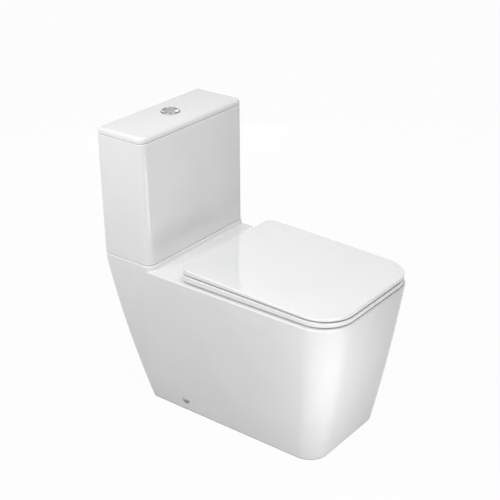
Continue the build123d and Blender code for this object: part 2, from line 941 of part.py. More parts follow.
# Flush valve, fixed pieces
tail_bottom = cistern_base - valve_tail_drop
with BuildPart() as valve_base:
    cylinder_between(
        0, fitting_y, cistern_floor + gasket_thickness, valve_seat, valve_flange_diameter
    )
    cylinder_between(
        0, fitting_y, tail_bottom, cistern_floor + gasket_thickness, valve_tail_diameter
    )
    cylinder_between(0, fitting_y, tail_bottom, valve_seat, valve_tail_bore, Mode.SUBTRACT)
finish(valve_base, "valve_base")

with BuildPart() as valve_gasket:
    cylinder_between(0, fitting_y, cistern_floor, cistern_floor + gasket_thickness, valve_flange_diameter)
    cylinder_between(
        0,
        fitting_y,
        cistern_floor,
        cistern_floor + gasket_thickness,
        valve_tail_diameter + 2 * thread_clearance,
        Mode.SUBTRACT,
    )
finish(valve_gasket, "valve_gasket")

backnut_base = cistern_base - valve_backnut_thickness
with BuildPart() as valve_backnut:
    cylinder_between(0, fitting_y, backnut_base, cistern_base, valve_backnut_diameter)
    cylinder_between(
        0,
        fitting_y,
        backnut_base,
        cistern_base,
        valve_tail_diameter + 2 * thread_clearance,
        Mode.SUBTRACT,
    )
finish(valve_backnut, "valve_backnut")

with BuildPart() as coupling_washer:
    cylinder_between(0, fitting_y, recess_floor, cistern_base, coupling_washer_diameter)
    cylinder_between(
        0,
        fitting_y,
        recess_floor,
        cistern_base,
        valve_tail_diameter + 2 * coupling_clearance,
        Mode.SUBTRACT,
    )
    cylinder_between(
        0,
        fitting_y,
        backnut_base - coupling_clearance,
        cistern_base,
        valve_backnut_diameter + 2 * coupling_clearance,
        Mode.SUBTRACT,
    )
finish(coupling_washer, "coupling_washer")

cage_outer = tower_diameter + cage_ring_wall
cage_inner = tower_diameter - cage_ring_wall
with BuildPart() as valve_cage:
    cylinder_between(0, fitting_y, valve_seat, tower_base, cage_outer)
    cylinder_between(0, fitting_y, valve_seat, tower_base, cage_inner, Mode.SUBTRACT)
    window_base = valve_seat + cage_ring_thickness / 2
    window_top = tower_base - cage_ring_thickness
    window_half = (cage_inner / 2 - cage_leg_width) / sqrt(2)
    for turn in (0, 90):
        with Locations(Location((0, fitting_y, (window_base + window_top) / 2), (0, 0, turn))):
            Box(2 * cage_outer, 2 * window_half, window_top - window_base, mode=Mode.SUBTRACT)
finish(valve_cage, "valve_cage")

guide_top = tower_top - half_rod_guide_drop
guide_base = guide_top - half_rod_guide_height
with BuildPart() as valve_tower:
    cylinder_between(0, fitting_y, tower_base, tower_top, tower_diameter)
    block_between(
        (
            -strap_outer - half_rod_guide_clearance - half_rod_guide_wall,
            fitting_y - lift_strap_width / 2 - half_rod_guide_clearance - half_rod_guide_wall,
            guide_base,
        ),
        (
            0,
            fitting_y + lift_strap_width / 2 + half_rod_guide_clearance + half_rod_guide_wall,
            guide_top,
        ),
    )
    cylinder_between(
        0,
        fitting_y,
        tower_base,
        tower_top - tower_top_thickness,
        tower_diameter - 2 * tower_wall,
        Mode.SUBTRACT,
    )
    cylinder_between(
        0,
        fitting_y,
        tower_top - tower_top_thickness,
        tower_top,
        overflow_diameter + 2 * overflow_guide_clearance,
        Mode.SUBTRACT,
    )
    block_between(
        (
            -strap_outer - half_rod_guide_clearance,
            fitting_y - lift_strap_width / 2 - half_rod_guide_clearance,
            guide_base,
        ),
        (
            -strap_inner + half_rod_guide_clearance,
            fitting_y + lift_strap_width / 2 + half_rod_guide_clearance,
            guide_top,
        ),
        Mode.SUBTRACT,
    )
finish(valve_tower, "valve_tower")

cheek_near = lever_width / 2 + lever_cheek_gap
cheek_far = cheek_near + lever_cheek_thickness
with BuildPart() as valve_head:
    post_base = tower_top + head_plate_thickness
    cylinder_between(0, fitting_y, tower_top, post_base, tower_diameter)
    cylinder_between(
        0, fitting_y, tower_top, post_base, overflow_diameter + 2 * lift_collar_wall, Mode.SUBTRACT
    )
    for face in (-1, 1):
        near = sorted(
            (
                fitting_y + face * (head_post_offset - head_post_thickness / 2),
                fitting_y + face * (head_post_offset + head_post_thickness / 2),
            )
        )
        block_between(
            (-head_post_width / 2, near[0], post_base), (head_post_width / 2, near[1], head_plate_base)
        )
    reach = head_post_offset + head_post_thickness / 2
    block_between(
        (-head_plate_width / 2, fitting_y - reach, head_plate_base),
        (head_plate_width / 2, fitting_y + reach, head_plate_top),
    )
    for side in (-1, 1):
        for face in (-1, 1):
            near = sorted((fitting_y + face * cheek_near, fitting_y + face * cheek_far))
            block_between(
                (side * lever_pivot_offset - lever_cheek_width / 2, near[0], head_plate_top),
                (
                    side * lever_pivot_offset + lever_cheek_width / 2,
                    near[1],
                    lever_pivot_z + lever_cheek_width / 2,
                ),
            )
        depthbar(
            side * lever_pivot_offset,
            fitting_y,
            lever_pivot_z,
            2 * cheek_far,
            lever_pin_diameter + 2 * running_clearance,
            Mode.SUBTRACT,
        )
finish(valve_head, "valve_head")

# Flush valve, moving pieces: lifted tube with its seal, levers and the half flush rod
with BuildPart() as overflow_tube:
    cylinder_between(0, fitting_y, overflow_base, overflow_top, overflow_diameter)
    cylinder_between(0, fitting_y, overflow_base, overflow_base + seal_thickness, seal_plate_diameter)
    cylinder_between(
        0, fitting_y, overflow_base, overflow_top, overflow_diameter - 2 * overflow_wall, Mode.SUBTRACT
    )
finish(overflow_tube, "overflow_tube")

with BuildPart() as valve_seal:
    cylinder_between(0, fitting_y, seal_base, overflow_base, seal_diameter)
    cylinder_between(
        0, fitting_y, seal_base, overflow_base, overflow_diameter - 2 * overflow_wall, Mode.SUBTRACT
    )
finish(valve_seal, "valve_seal")

lip_top = lip_base + lift_strap_thickness
lip_inner = lever_tip - lever_width
strap_near = fitting_y - lift_strap_width / 2
strap_far = fitting_y + lift_strap_width / 2
with BuildPart() as lift_frame:
    collar_base = overflow_top - lift_collar_height
    cylinder_between(
        0, fitting_y, collar_base, overflow_top, overflow_diameter + 2 * lift_collar_wall
    )
    block_between((0, strap_near, collar_base), (strap_outer, strap_far, overflow_top))
    block_between((strap_inner, strap_near, collar_base), (strap_outer, strap_far, lip_top))
    block_between((lip_inner, strap_near, lip_base), (strap_outer, strap_far, lip_top))
    cylinder_between(
        0,
        fitting_y,
        collar_base,
        overflow_top,
        overflow_diameter + 2 * thread_clearance,
        Mode.SUBTRACT,
    )
finish(lift_frame, "lift_frame")

with BuildPart() as half_flush_rod:
    weight_top = guide_base - half_rod_weight_drop
    weight_middle = -(strap_inner + strap_outer) / 2
    block_between((-strap_outer, strap_near, weight_top), (-strap_inner, strap_far, lip_top))
    block_between((-strap_outer, strap_near, lip_base), (-lip_inner, strap_far, lip_top))
    block_between(
        (
            weight_middle - half_rod_weight_depth / 2,
            fitting_y - half_rod_weight_width / 2,
            weight_top - half_rod_weight_height,
        ),
        (weight_middle + half_rod_weight_depth / 2, fitting_y + half_rod_weight_width / 2, weight_top),
    )
finish(half_flush_rod, "half_flush_rod")

for side, name in ((1, "full"), (-1, "half")):
    pivot_x = side * lever_pivot_offset
    ends = sorted((pivot_x - side * lever_inner_arm, pivot_x + side * lever_outer_arm))
    with BuildPart() as lever:
        block_between(
            (ends[0], fitting_y - lever_width / 2, lever_pivot_z - lever_thickness / 2),
            (ends[1], fitting_y + lever_width / 2, lever_top),
        )
        depthbar(
            pivot_x,
            fitting_y,
            lever_pivot_z,
            lever_width,
            lever_pin_diameter + 2 * running_clearance,
            Mode.SUBTRACT,
        )
    finish(lever, f"{name}_lever")

    with BuildPart() as lever_pin:
        depthbar(pivot_x, fitting_y, lever_pivot_z, 2 * cheek_far, lever_pin_diameter)
    finish(lever_pin, f"{name}_lever_pin")

# Fill valve: shank and column, gasket, backnut, head, float and float arm
with BuildPart() as fill_shank:
    fill_tail_bottom = cistern_base - fill_tail_drop
    inlet_bottom = fill_tail_bottom - inlet_length
    cylinder_between(fill_offset, fitting_y, fill_tail_bottom, fill_flange_base, fill_tail_diameter)
    cylinder_between(fill_offset, fitting_y, inlet_bottom, fill_tail_bottom, inlet_diameter)
    cylinder_between(
        fill_offset, fitting_y, fill_flange_base, fill_column_base, fill_flange_diameter
    )
    cylinder_between(fill_offset, fitting_y, fill_column_base, fill_head_base, fill_column_diameter)
    cylinder_between(
        fill_offset, fitting_y, inlet_bottom, fill_head_base, fill_tail_bore, Mode.SUBTRACT
    )
finish(fill_shank, "fill_shank")

for name, base, thickness, diameter in (
    ("fill_gasket", cistern_floor, gasket_thickness, fill_flange_diameter),
    ("fill_backnut", cistern_base - fill_backnut_thickness, fill_backnut_thickness, fill_backnut_diameter),
):
    with BuildPart() as collar:
        cylinder_between(fill_offset, fitting_y, base, base + thickness, diameter)
        cylinder_between(
            fill_offset,
            fitting_y,
            base,
            base + thickness,
            fill_tail_diameter + 2 * thread_clearance,
            Mode.SUBTRACT,
        )
    finish(collar, name)

arm_cheek_near = float_arm_width / 2 + lever_cheek_gap
arm_cheek_far = arm_cheek_near + lever_cheek_thickness
with BuildPart() as fill_head:
    cylinder_between(fill_offset, fitting_y, fill_head_base, fill_head_top, fill_head_diameter)
    for face in (-1, 1):
        near = sorted((fitting_y + face * arm_cheek_near, fitting_y + face * arm_cheek_far))
        block_between(
            (float_arm_pivot_x - lever_cheek_width / 2, near[0], fill_head_top),
            (
                float_arm_pivot_x + lever_cheek_width / 2,
                near[1],
                float_arm_pivot_z + lever_cheek_width / 2,
            ),
        )
    depthbar(
        float_arm_pivot_x,
        fitting_y,
        float_arm_pivot_z,
        2 * arm_cheek_far,
        lever_pin_diameter + 2 * running_clearance,
        Mode.SUBTRACT,
    )
finish(fill_head, "fill_head")

with BuildPart() as fill_float:
    cylinder_between(fill_offset, fitting_y, float_base, float_top, fill_float_diameter)
    cylinder_between(
        fill_offset - float_rod_offset, fitting_y, float_top, float_rod_top, float_rod_diameter
    )
    cylinder_between(
        fill_offset,
        fitting_y,
        float_base,
        float_top,
        fill_column_diameter + 2 * fill_float_clearance,
        Mode.SUBTRACT,
    )
finish(fill_float, "fill_float")

with BuildPart() as float_arm:
    block_between(
        (
            float_arm_pivot_x - float_arm_length,
            fitting_y - float_arm_width / 2,
            float_arm_pivot_z - float_arm_thickness / 2,
        ),
        (
            float_arm_pivot_x + float_arm_width / 2,
            fitting_y + float_arm_width / 2,
            float_arm_pivot_z + float_arm_thickness / 2,
        ),
    )
    depthbar(
        float_arm_pivot_x,
        fitting_y,
        float_arm_pivot_z,
        float_arm_width,
        lever_pin_diameter + 2 * running_clearance,
        Mode.SUBTRACT,
    )
finish(float_arm, "float_arm")

with BuildPart() as float_arm_pin:
    depthbar(float_arm_pivot_x, fitting_y, float_arm_pivot_z, 2 * arm_cheek_far, lever_pin_diameter)
finish(float_arm_pin, "float_arm_pin")

# Floor fixing: angle brackets inside the skirt, side screws and their caps
bracket_outer = foot_width / 2 - wall - bracket_wall_gap
bracket_hole_x = bracket_outer - bracket_reach + 2 * bracket_floor_hole_diameter
with BuildPart() as floor_brackets:
    for side in (-1, 1):
        ends = sorted((side * bracket_outer, side * (bracket_outer - bracket_reach)))
        block_between(
            (ends[0], fixing_y - bracket_length / 2, 0),
            (ends[1], fixing_y + bracket_length / 2, bracket_thickness),
        )
        ends = sorted((side * bracket_outer, side * (bracket_outer - bracket_thickness)))
        block_between(
            (ends[0], fixing_y - bracket_length / 2, 0),
            (ends[1], fixing_y + bracket_length / 2, bracket_height),
        )
        cylinder_between(
            side * bracket_hole_x,
            fixing_y,
            0,
            bracket_thickness,
            bracket_floor_hole_diameter,
            Mode.SUBTRACT,
        )
        round_on(
            fixing_plane(side),
            -bracket_reach,
            0,
            side_screw_diameter + 2 * bracket_hole_clearance,
            Mode.SUBTRACT,
        )
finish(floor_brackets, "floor_brackets")

with BuildPart() as side_screws:
    for side in (-1, 1):
        head_seat = -cap_recess_depth
        round_on(fixing_plane(side), head_seat - side_screw_length, head_seat, side_screw_diameter)
        round_on(fixing_plane(side), head_seat, head_seat + side_screw_head_height, side_screw_head_diameter)
finish(side_screws, "side_screws")

plug_diameter = cap_recess_diameter - 2 * cap_plug_clearance
dome_radius = ((cap_diameter / 2) ** 2 + (cap_height - cap_gap) ** 2) / (2 * (cap_height - cap_gap))
with BuildPart() as side_caps:
    for side in (-1, 1):
        face = fixing_plane(side)
        with Locations(face.offset(cap_height - dome_radius)):
            Sphere(dome_radius)
    for side in (-1, 1):
        face = fixing_plane(side)
        with Locations(face.offset(cap_gap - dome_radius)):
            Cylinder(2 * dome_radius, 2 * dome_radius, mode=Mode.SUBTRACT)
    for side in (-1, 1):
        face = fixing_plane(side)
        plug_end = cap_gap + cap_plug_wall - cap_recess_depth
        round_on(face, plug_end, cap_gap, plug_diameter)
        round_on(face, plug_end, cap_gap, plug_diameter - 2 * cap_plug_wall, Mode.SUBTRACT)
finish(side_caps, "side_caps")

print(len(finished), "pieces")
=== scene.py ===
import bpy
import json
from math import atan, cos, pi, radians, sin, sqrt
from mathutils import Matrix, Vector


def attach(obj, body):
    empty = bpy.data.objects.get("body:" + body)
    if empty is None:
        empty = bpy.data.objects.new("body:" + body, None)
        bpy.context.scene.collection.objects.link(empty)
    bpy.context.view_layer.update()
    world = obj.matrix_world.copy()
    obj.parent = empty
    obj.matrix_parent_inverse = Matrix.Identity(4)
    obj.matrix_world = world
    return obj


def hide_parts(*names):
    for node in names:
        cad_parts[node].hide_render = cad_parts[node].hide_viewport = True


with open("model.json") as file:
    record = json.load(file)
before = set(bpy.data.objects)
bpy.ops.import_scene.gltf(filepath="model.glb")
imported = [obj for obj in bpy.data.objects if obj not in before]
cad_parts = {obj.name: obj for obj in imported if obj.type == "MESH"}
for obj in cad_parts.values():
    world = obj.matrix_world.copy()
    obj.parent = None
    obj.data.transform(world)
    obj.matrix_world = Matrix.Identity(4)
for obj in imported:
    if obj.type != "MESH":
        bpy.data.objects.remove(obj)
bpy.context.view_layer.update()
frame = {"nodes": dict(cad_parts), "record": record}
cadNodes = frame["nodes"]
scene = bpy.context.scene
scene.view_settings.view_transform = "Standard"
for name in ("Cube", "Light", "Camera"):  # Blender's own start objects
    if name in bpy.data.objects:
        bpy.data.objects.remove(bpy.data.objects[name])

mm = 0.001
wallY = 339.0  # back of the cistern; sizes are in millimetres, the stage and the camera in metres
print("frame loaded:", len(cadNodes), "nodes")


# finishes

def newFinish(name):
    material = bpy.data.materials.new(name)
    material.use_nodes = True
    tree = material.node_tree
    return material, tree, tree.nodes["Principled BSDF"]


def addNode(tree, kind, **sockets):
    node = tree.nodes.new(kind)
    for label, value in sockets.items():
        node.inputs[label].default_value = value
    return node


def noiseAt(tree, scale, detail=2.0, stretch=None):
    coords = tree.nodes.new("ShaderNodeTexCoord")
    noise = addNode(tree, "ShaderNodeTexNoise", Scale=scale, Detail=detail)
    if stretch:
        mapping = addNode(tree, "ShaderNodeMapping", Scale=stretch)
        tree.links.new(coords.outputs["Object"], mapping.inputs["Vector"])
        tree.links.new(mapping.outputs["Vector"], noise.inputs["Vector"])
    else:
        tree.links.new(coords.outputs["Object"], noise.inputs["Vector"])
    return noise


def toneRamp(tree, source, dark, light, low=0.35, high=0.65):
    ramp = tree.nodes.new("ShaderNodeValToRGB")
    ramp.color_ramp.elements[0].position = low
    ramp.color_ramp.elements[1].position = high
    ramp.color_ramp.elements[0].color = (*dark, 1)
    ramp.color_ramp.elements[1].color = (*light, 1)
    tree.links.new(source, ramp.inputs["Fac"])
    return ramp.outputs["Color"]


def rangeOf(tree, source, low, high, noiseLow=0.3, noiseHigh=0.7):
    # spreads the middle of a noise over a range of values
    spread = tree.nodes.new("ShaderNodeMapRange")
    spread.inputs["From Min"].default_value = noiseLow
    spread.inputs["From Max"].default_value = noiseHigh
    spread.inputs["To Min"].default_value = low
    spread.inputs["To Max"].default_value = high
    tree.links.new(source, spread.inputs["Value"])
    return spread.outputs["Result"]


def raised(tree, source, strength, distance, under=None):
    bump = addNode(tree, "ShaderNodeBump", Strength=strength, Distance=distance)
    tree.links.new(source, bump.inputs["Height"])
    if under:
        tree.links.new(under, bump.inputs["Normal"])
    return bump.outputs["Normal"]


def paintedShadeByHeight(tree, colour, paintedShade):
    # painted shade: the plating's colour is darkened from one height down to another, standing in for the
    # darker lower part of its reflections near the joint
    coords = tree.nodes.new("ShaderNodeTexCoord")
    split = tree.nodes.new("ShaderNodeSeparateXYZ")
    tree.links.new(coords.outputs["Object"], split.inputs["Vector"])
    climb = tree.nodes.new("ShaderNodeMapRange")
    climb.interpolation_type = "SMOOTHSTEP"
    climb.inputs["From Min"].default_value = paintedShade["low"] * mm
    climb.inputs["From Max"].default_value = paintedShade["high"] * mm
    climb.inputs["To Min"].default_value = paintedShade["share"]
    climb.inputs["To Max"].default_value = 1.0
    tree.links.new(split.outputs["Z"], climb.inputs["Value"])
    blend = tree.nodes.new("ShaderNodeVectorMath")
    blend.operation = "SCALE"
    tree.links.new(colour, blend.inputs["Vector"])
    tree.links.new(climb.outputs["Result"], blend.inputs["Scale"])
    return blend.outputs["Vector"]


def surface(name, look):
    # one finish from its dictionary: two tones, two roughnesses, a slow wave and a fine grain
    material, tree, shader = newFinish(name)
    stretch = look.get("stretch")
    tone = noiseAt(tree, look["toneScale"], detail=4.0, stretch=stretch)
    colour = toneRamp(tree, tone.outputs["Fac"], look["dark"], look["light"])
    # painted shade on the chrome, darker lower down
    if "paintedShade" in look:
        colour = paintedShadeByHeight(tree, colour, look["paintedShade"])
    tree.links.new(colour, shader.inputs["Base Color"])
    gloss = noiseAt(tree, look["glossScale"], detail=3.0, stretch=stretch)
    tree.links.new(rangeOf(tree, gloss.outputs["Fac"], *look["roughness"]), shader.inputs["Roughness"])
    grain = noiseAt(tree, look["grainScale"], detail=2.0, stretch=stretch)
    wave = noiseAt(tree, look["waveScale"], detail=1.0)
    normal = raised(tree, wave.outputs["Fac"], look["waveStrength"], look["waveDepth"])
    normal = raised(tree, grain.outputs["Fac"], look["grainStrength"], look["grainDepth"], normal)
    tree.links.new(normal, shader.inputs["Normal"])
    shader.inputs["Metallic"].default_value = look.get("metal", 0.0)
    shader.inputs["IOR"].default_value = look.get("ior", 1.5)
    shader.inputs["Coat Weight"].default_value = look.get("coat", 0.0)
    shader.inputs["Coat Roughness"].default_value = look.get("coatRoughness", 0.03)
    shader.inputs["Coat IOR"].default_value = look.get("coatIor", 1.5)
    return material


glazeLook = {
    "dark": (0.855, 0.86, 0.858), "light": (0.885, 0.888, 0.884), "toneScale": 7.0,
    "roughness": (0.07, 0.12), "glossScale": 16.0,
    "grainScale": 620.0, "grainStrength": 0.02, "grainDepth": 0.0003,
    "waveScale": 9.0, "waveStrength": 0.03, "waveDepth": 0.004, "ior": 1.52,
}
biscuitLook = {
    "dark": (0.58, 0.565, 0.54), "light": (0.68, 0.665, 0.64), "toneScale": 22.0,
    "roughness": (0.72, 0.92), "glossScale": 60.0,
    "grainScale": 900.0, "grainStrength": 0.35, "grainDepth": 0.0006,
    "waveScale": 40.0, "waveStrength": 0.1, "waveDepth": 0.002,
}
seatLook = {
    "dark": (0.872, 0.876, 0.878), "light": (0.892, 0.895, 0.896), "toneScale": 9.0,
    "roughness": (0.035, 0.06), "glossScale": 30.0,
    "grainScale": 1100.0, "grainStrength": 0.012, "grainDepth": 0.0002,
    "waveScale": 5.0, "waveStrength": 0.006, "waveDepth": 0.003, "ior": 1.5,
    "coat": 1.0, "coatIor": 1.75, "coatRoughness": 0.015,
}
chromeLook = {
    "dark": (0.40, 0.405, 0.415), "light": (0.50, 0.505, 0.515), "toneScale": 60.0,
    "roughness": (0.12, 0.22), "glossScale": 180.0,
    "grainScale": 2400.0, "grainStrength": 0.02, "grainDepth": 0.0001,
    "waveScale": 90.0, "waveStrength": 0.03, "waveDepth": 0.0005, "metal": 1.0,
}
# bezel: a copy of the chrome set darker as painted shade, with more painted shade toward its foot
bezelLook = {
    **chromeLook, "dark": (0.30, 0.305, 0.315), "light": (0.38, 0.385, 0.395),
    "paintedShade": {"low": 738, "high": 743, "share": 0.4},
}
# side caps: a copy of the chrome set lighter as painted light, with painted shade over their lower part
capLook = {
    **chromeLook, "dark": (0.52, 0.525, 0.53), "light": (0.60, 0.605, 0.61),
    "paintedShade": {"low": 29, "high": 43, "share": 0.22},
}
steelLook = {
    "dark": (0.42, 0.43, 0.44), "light": (0.62, 0.63, 0.63), "toneScale": 120.0,
    "roughness": (0.28, 0.46), "glossScale": 300.0, "stretch": (1.0, 1.0, 0.12),
    "grainScale": 1500.0, "grainStrength": 0.12, "grainDepth": 0.0002,
    "waveScale": 70.0, "waveStrength": 0.05, "waveDepth": 0.0006, "metal": 1.0,
}
bufferLook = {
    "dark": (0.70, 0.70, 0.68), "light": (0.78, 0.78, 0.76), "toneScale": 90.0,
    "roughness": (0.55, 0.72), "glossScale": 200.0,
    "grainScale": 1800.0, "grainStrength": 0.2, "grainDepth": 0.0002,
    "waveScale": 60.0, "waveStrength": 0.08, "waveDepth": 0.0006,
}
sealLook = {
    "dark": (0.018, 0.018, 0.018), "light": (0.045, 0.045, 0.044), "toneScale": 80.0,
    "roughness": (0.55, 0.8), "glossScale": 160.0,
    "grainScale": 1600.0, "grainStrength": 0.25, "grainDepth": 0.0002,
    "waveScale": 50.0, "waveStrength": 0.1, "waveDepth": 0.0006,
}
nylonLook = {
    "dark": (0.74, 0.74, 0.71), "light": (0.82, 0.82, 0.79), "toneScale": 70.0,
    "roughness": (0.38, 0.52), "glossScale": 140.0,
    "grainScale": 1400.0, "grainStrength": 0.12, "grainDepth": 0.0002,
    "waveScale": 45.0, "waveStrength": 0.06, "waveDepth": 0.0008,
}
valveLook = {
    "dark": (0.66, 0.69, 0.70), "light": (0.76, 0.78, 0.79), "toneScale": 34.0,
    "roughness": (0.32, 0.46), "glossScale": 90.0,
    "grainScale": 1300.0, "grainStrength": 0.1, "grainDepth": 0.0002,
    "waveScale": 30.0, "waveStrength": 0.05, "waveDepth": 0.0008,
}
leverLook = {
    "dark": (0.030, 0.105, 0.30), "light": (0.050, 0.145, 0.38), "toneScale": 80.0,
    "roughness": (0.34, 0.48), "glossScale": 150.0,
    "grainScale": 1500.0, "grainStrength": 0.12, "grainDepth": 0.0002,
    "waveScale": 60.0, "waveStrength": 0.06, "waveDepth": 0.0006,
}
floatLook = {
    "dark": (0.20, 0.22, 0.25), "light": (0.28, 0.30, 0.34), "toneScale": 50.0,
    "roughness": (0.40, 0.55), "glossScale": 110.0,
    "grainScale": 1400.0, "grainStrength": 0.15, "grainDepth": 0.0002,
    "waveScale": 40.0, "waveStrength": 0.06, "waveDepth": 0.0008,
}
glaze = surface("glazeWhite", glazeLook)
biscuit = surface("biscuitBare", biscuitLook)
seatGloss = surface("seatGloss", seatLook)
chrome = surface("chromePlate", chromeLook)
chromeBezel = surface("chromeBezel", bezelLook)
chromeCap = surface("chromeCap", capLook)
finishBySlot = {
    "ceramic_glaze": glaze,
    "seat_plastic": seatGloss,
    "chrome": chrome,
    "steel": surface("zincSteel", steelLook),
    "buffer_rubber": surface("bufferRubber", bufferLook),
    "seal_rubber": surface("sealRubber", sealLook),
    "white_nylon": surface("whiteNylon", nylonLook),
    "valve_plastic": surface("valvePlastic", valveLook),
    "lever_plastic": surface("leverPlastic", leverLook),
    "float_plastic": surface("floatPlastic", floatLook),
}
for part in frame["record"]["subparts"]:
    for spot in cadNodes[part["node"]].material_slots:
        spot.material = finishBySlot[part["material_slot"]]
print("finishes made:", len(bpy.data.materials))


# mesh helpers

leastCorner = 0.6  # no corner closes fully, so the count of points never changes


def softOutline(halfWidth, front, rear, frontCorner, rearCorner, arcSteps=18, sideSteps=14, endSteps=6):
    # plan line from the middle of the front, round to the right
    frontArc = max(frontCorner, leastCorner)
    rearArc = max(rearCorner, leastCorner)
    points = []

    def run(start, end, steps):
        for i in range(steps):
            t = i / steps
            points.append((start[0] + (end[0] - start[0]) * t, start[1] + (end[1] - start[1]) * t))

    def arc(centre, radius, turn):
        for i in range(arcSteps):
            a = radians(turn + 90 * i / arcSteps)
            points.append((centre[0] + radius * cos(a), centre[1] + radius * sin(a)))

    run((0, front), (halfWidth - frontArc, front), endSteps)
    arc((halfWidth - frontArc, front + frontArc), frontArc, -90)
    run((halfWidth, front + frontArc), (halfWidth, rear - rearArc), sideSteps)
    arc((halfWidth - rearArc, rear - rearArc), rearArc, 0)
    run((halfWidth - rearArc, rear), (rearArc - halfWidth, rear), 2 * endSteps)
    arc((rearArc - halfWidth, rear - rearArc), rearArc, 90)
    run((-halfWidth, rear - rearArc), (-halfWidth, front + frontArc), sideSteps)
    arc((frontArc - halfWidth, front + frontArc), frontArc, 180)
    run((frontArc - halfWidth, front), (0, front), endSteps)
    return points


def level(outline, height):
    # lifts a plan line to a height
    return [(x, y, height) for x, y in outline]


def shrunk(outline, share, centre):
    return [(centre[0] + (x - centre[0]) * share, centre[1] + (y - centre[1]) * share) for x, y in outline]


def circle(centre, radius, steps=64):
    return [(centre[0] + radius * cos(2 * pi * i / steps), centre[1] + radius * sin(2 * pi * i / steps))
            for i in range(steps)]


def quarter(steps):
    # angles over a quarter turn
    return [radians(90 * i / steps) for i in range(steps + 1)]


def skin(name, loops, finishes, bands=None, ring=False, turn=None):
    # closed skin over loops of equal count; bands gives each strip's finish
    count = len(loops[0])
    corners = [tuple(c * mm for c in point) for loop in loops for point in loop]
    faces = []
    picks = []
    strips = len(loops) if ring else len(loops) - 1
    for s in range(strips):
        a = s * count
        b = ((s + 1) % len(loops)) * count
        for i in range(count):
            j = (i + 1) % count
            faces.append((a + i, a + j, b + j, b + i))
            picks.append(bands[s] if bands else 0)
    if not ring:
        faces.append(tuple(reversed(range(count))))
        picks.append(bands[0] if bands else 0)
        faces.append(tuple((len(loops) - 1) * count + i for i in range(count)))
        picks.append(bands[-1] if bands else 0)
    mesh = bpy.data.meshes.new(name)
    mesh.from_pydata(corners, [], faces)
    for finish in finishes:
        mesh.materials.append(finish)
    mesh.polygons.foreach_set("material_index", picks)
    if turn:
        mesh.transform(turn)
    mesh.update()
    piece = bpy.data.objects.new(name, mesh)
    scene.collection.objects.link(piece)
    return piece


def carve(piece, tool, how="DIFFERENCE"):
    # cuts or joins a closed form, then drops it
    change = piece.modifiers.new("carve", "BOOLEAN")
    change.operation = how
    change.solver = "EXACT"
    change.object = tool
    bpy.context.view_layer.update()
    shaped = piece.evaluated_get(bpy.context.evaluated_depsgraph_get())
    mesh = bpy.data.meshes.new_from_object(shaped)
    old = piece.data
    piece.modifiers.clear()
    piece.data = mesh
    mesh.name = piece.name
    bpy.data.meshes.remove(old)
    spent = tool.data
    bpy.data.objects.remove(tool)
    bpy.data.meshes.remove(spent)


def smooth(piece, sharpAngle=40):
    piece.data.polygons.foreach_set("use_smooth", [True] * len(piece.data.polygons))
    piece.data.set_sharp_from_angle(angle=radians(sharpAngle))
    even = piece.modifiers.new("evenNormals", "WEIGHTED_NORMAL")
    even.keep_sharp = True
    even.weight = 80


def place(piece, body, slot, *nodes):
    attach(piece, body)
    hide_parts(*nodes)


def post(x, y, low, high, radius, finishes, steps=48):
    # upright round tool for a hole
    outline = circle((x, y), radius, steps)
    return skin("tool", [level(outline, low), level(outline, high)], finishes)


# pan: one skin from under the bowl, round the foot, up the skirt, over the deck and down into the bowl

panSize = {
    "rimWidth": 376, "depth": 678, "rimHeight": 393.6, "footWidth": 286,
    "footFrontSetback": 66, "footRearSetback": 100.6,
    "sideBulge": 2.3, "frontBulge": 3.4, "rearBulge": 8.8,
    "rimCorner": 82, "footCorner": 52, "rearCorner": 6,
    "rimEdge": 5, "footEdge": 5, "wall": 12, "deck": 16, "innerEdge": 6,
    "bowlWidth": 262, "bowlFrontMargin": 46, "bowlRearSetback": 314, "bowlDepth": 238, "bowlCorner": 104,
    "bowlWall": 10, "bowlEdge": 7, "underEdge": 16, "underFlat": 26,
    "sumpWidth": 96, "sumpLength": 122, "sumpSetback": 346, "sumpCorner": 44, "sumpEdge": 14, "sumpFlat": 16,
    "openDepth": 24, "openPast": 60, "openMargin": 0.15, "openShort": 0.1,
    "trapBore": 70, "trapRise": 38, "trapTilt": -45, "trapReach": 66,
    "ductWidth": 72, "ductFloor": 338, "ductTop": 372, "ductCorner": 9, "ductReach": 24,
    "plinthTop": 407.1, "plinthEdge": 4.5, "plinthInset": 0.3, "plinthSetback": 147.8, "plinthCorner": 20,
    "plinthFoot": 6.5, "plinthRoot": 10, "plinthSpread": 0.4, "plinthSink": 0.05,
    "fittingSetback": 64, "fillOffset": 126, "fillHole": 24, "inletHole": 28, "boltOffset": 85, "boltHole": 6,
    "hingeOffset": 77.5, "hingeSetback": 243, "hingeHole": 6, "holeDrop": 8, "cutPast": 6,
}


def taper(height, foot, rim, bulge):
    share = height / panSize["rimHeight"]
    return foot + (rim - foot) * share + 4 * bulge * share * (1 - share)


def sideAt(height):
    return taper(height, panSize["footWidth"] / 2, panSize["rimWidth"] / 2, panSize["sideBulge"])


def skirtLine(height, inset=0):
    p = panSize
    return softOutline(
        sideAt(height) - inset,
        wallY - taper(height, p["depth"] - p["footFrontSetback"], p["depth"], p["frontBulge"]) + inset,
        wallY + taper(height, -p["footRearSetback"], 0, p["rearBulge"]) - inset,
        taper(height, p["footCorner"], p["rimCorner"], 0) - inset,
        p["rearCorner"] - inset,
    )


def bowlLine(share, grow):
    # share runs from 0 at the rim to 1 at the sump
    p = panSize
    wide = 1 - share**2
    upright = 1 - share**3
    sumpRear = wallY - p["sumpSetback"]
    sumpFront = sumpRear - p["sumpLength"]
    bowlFront = wallY - p["depth"] + p["bowlFrontMargin"]
    corner = p["sumpCorner"] + (p["bowlCorner"] - p["sumpCorner"]) * (1 - share) + grow
    return softOutline(
        p["sumpWidth"] / 2 + (p["bowlWidth"] - p["sumpWidth"]) / 2 * wide + grow,
        sumpFront + (bowlFront - sumpFront) * wide - grow,
        sumpRear + (p["sumpSetback"] - p["bowlRearSetback"]) * upright + grow,
        corner,
        corner,
    )


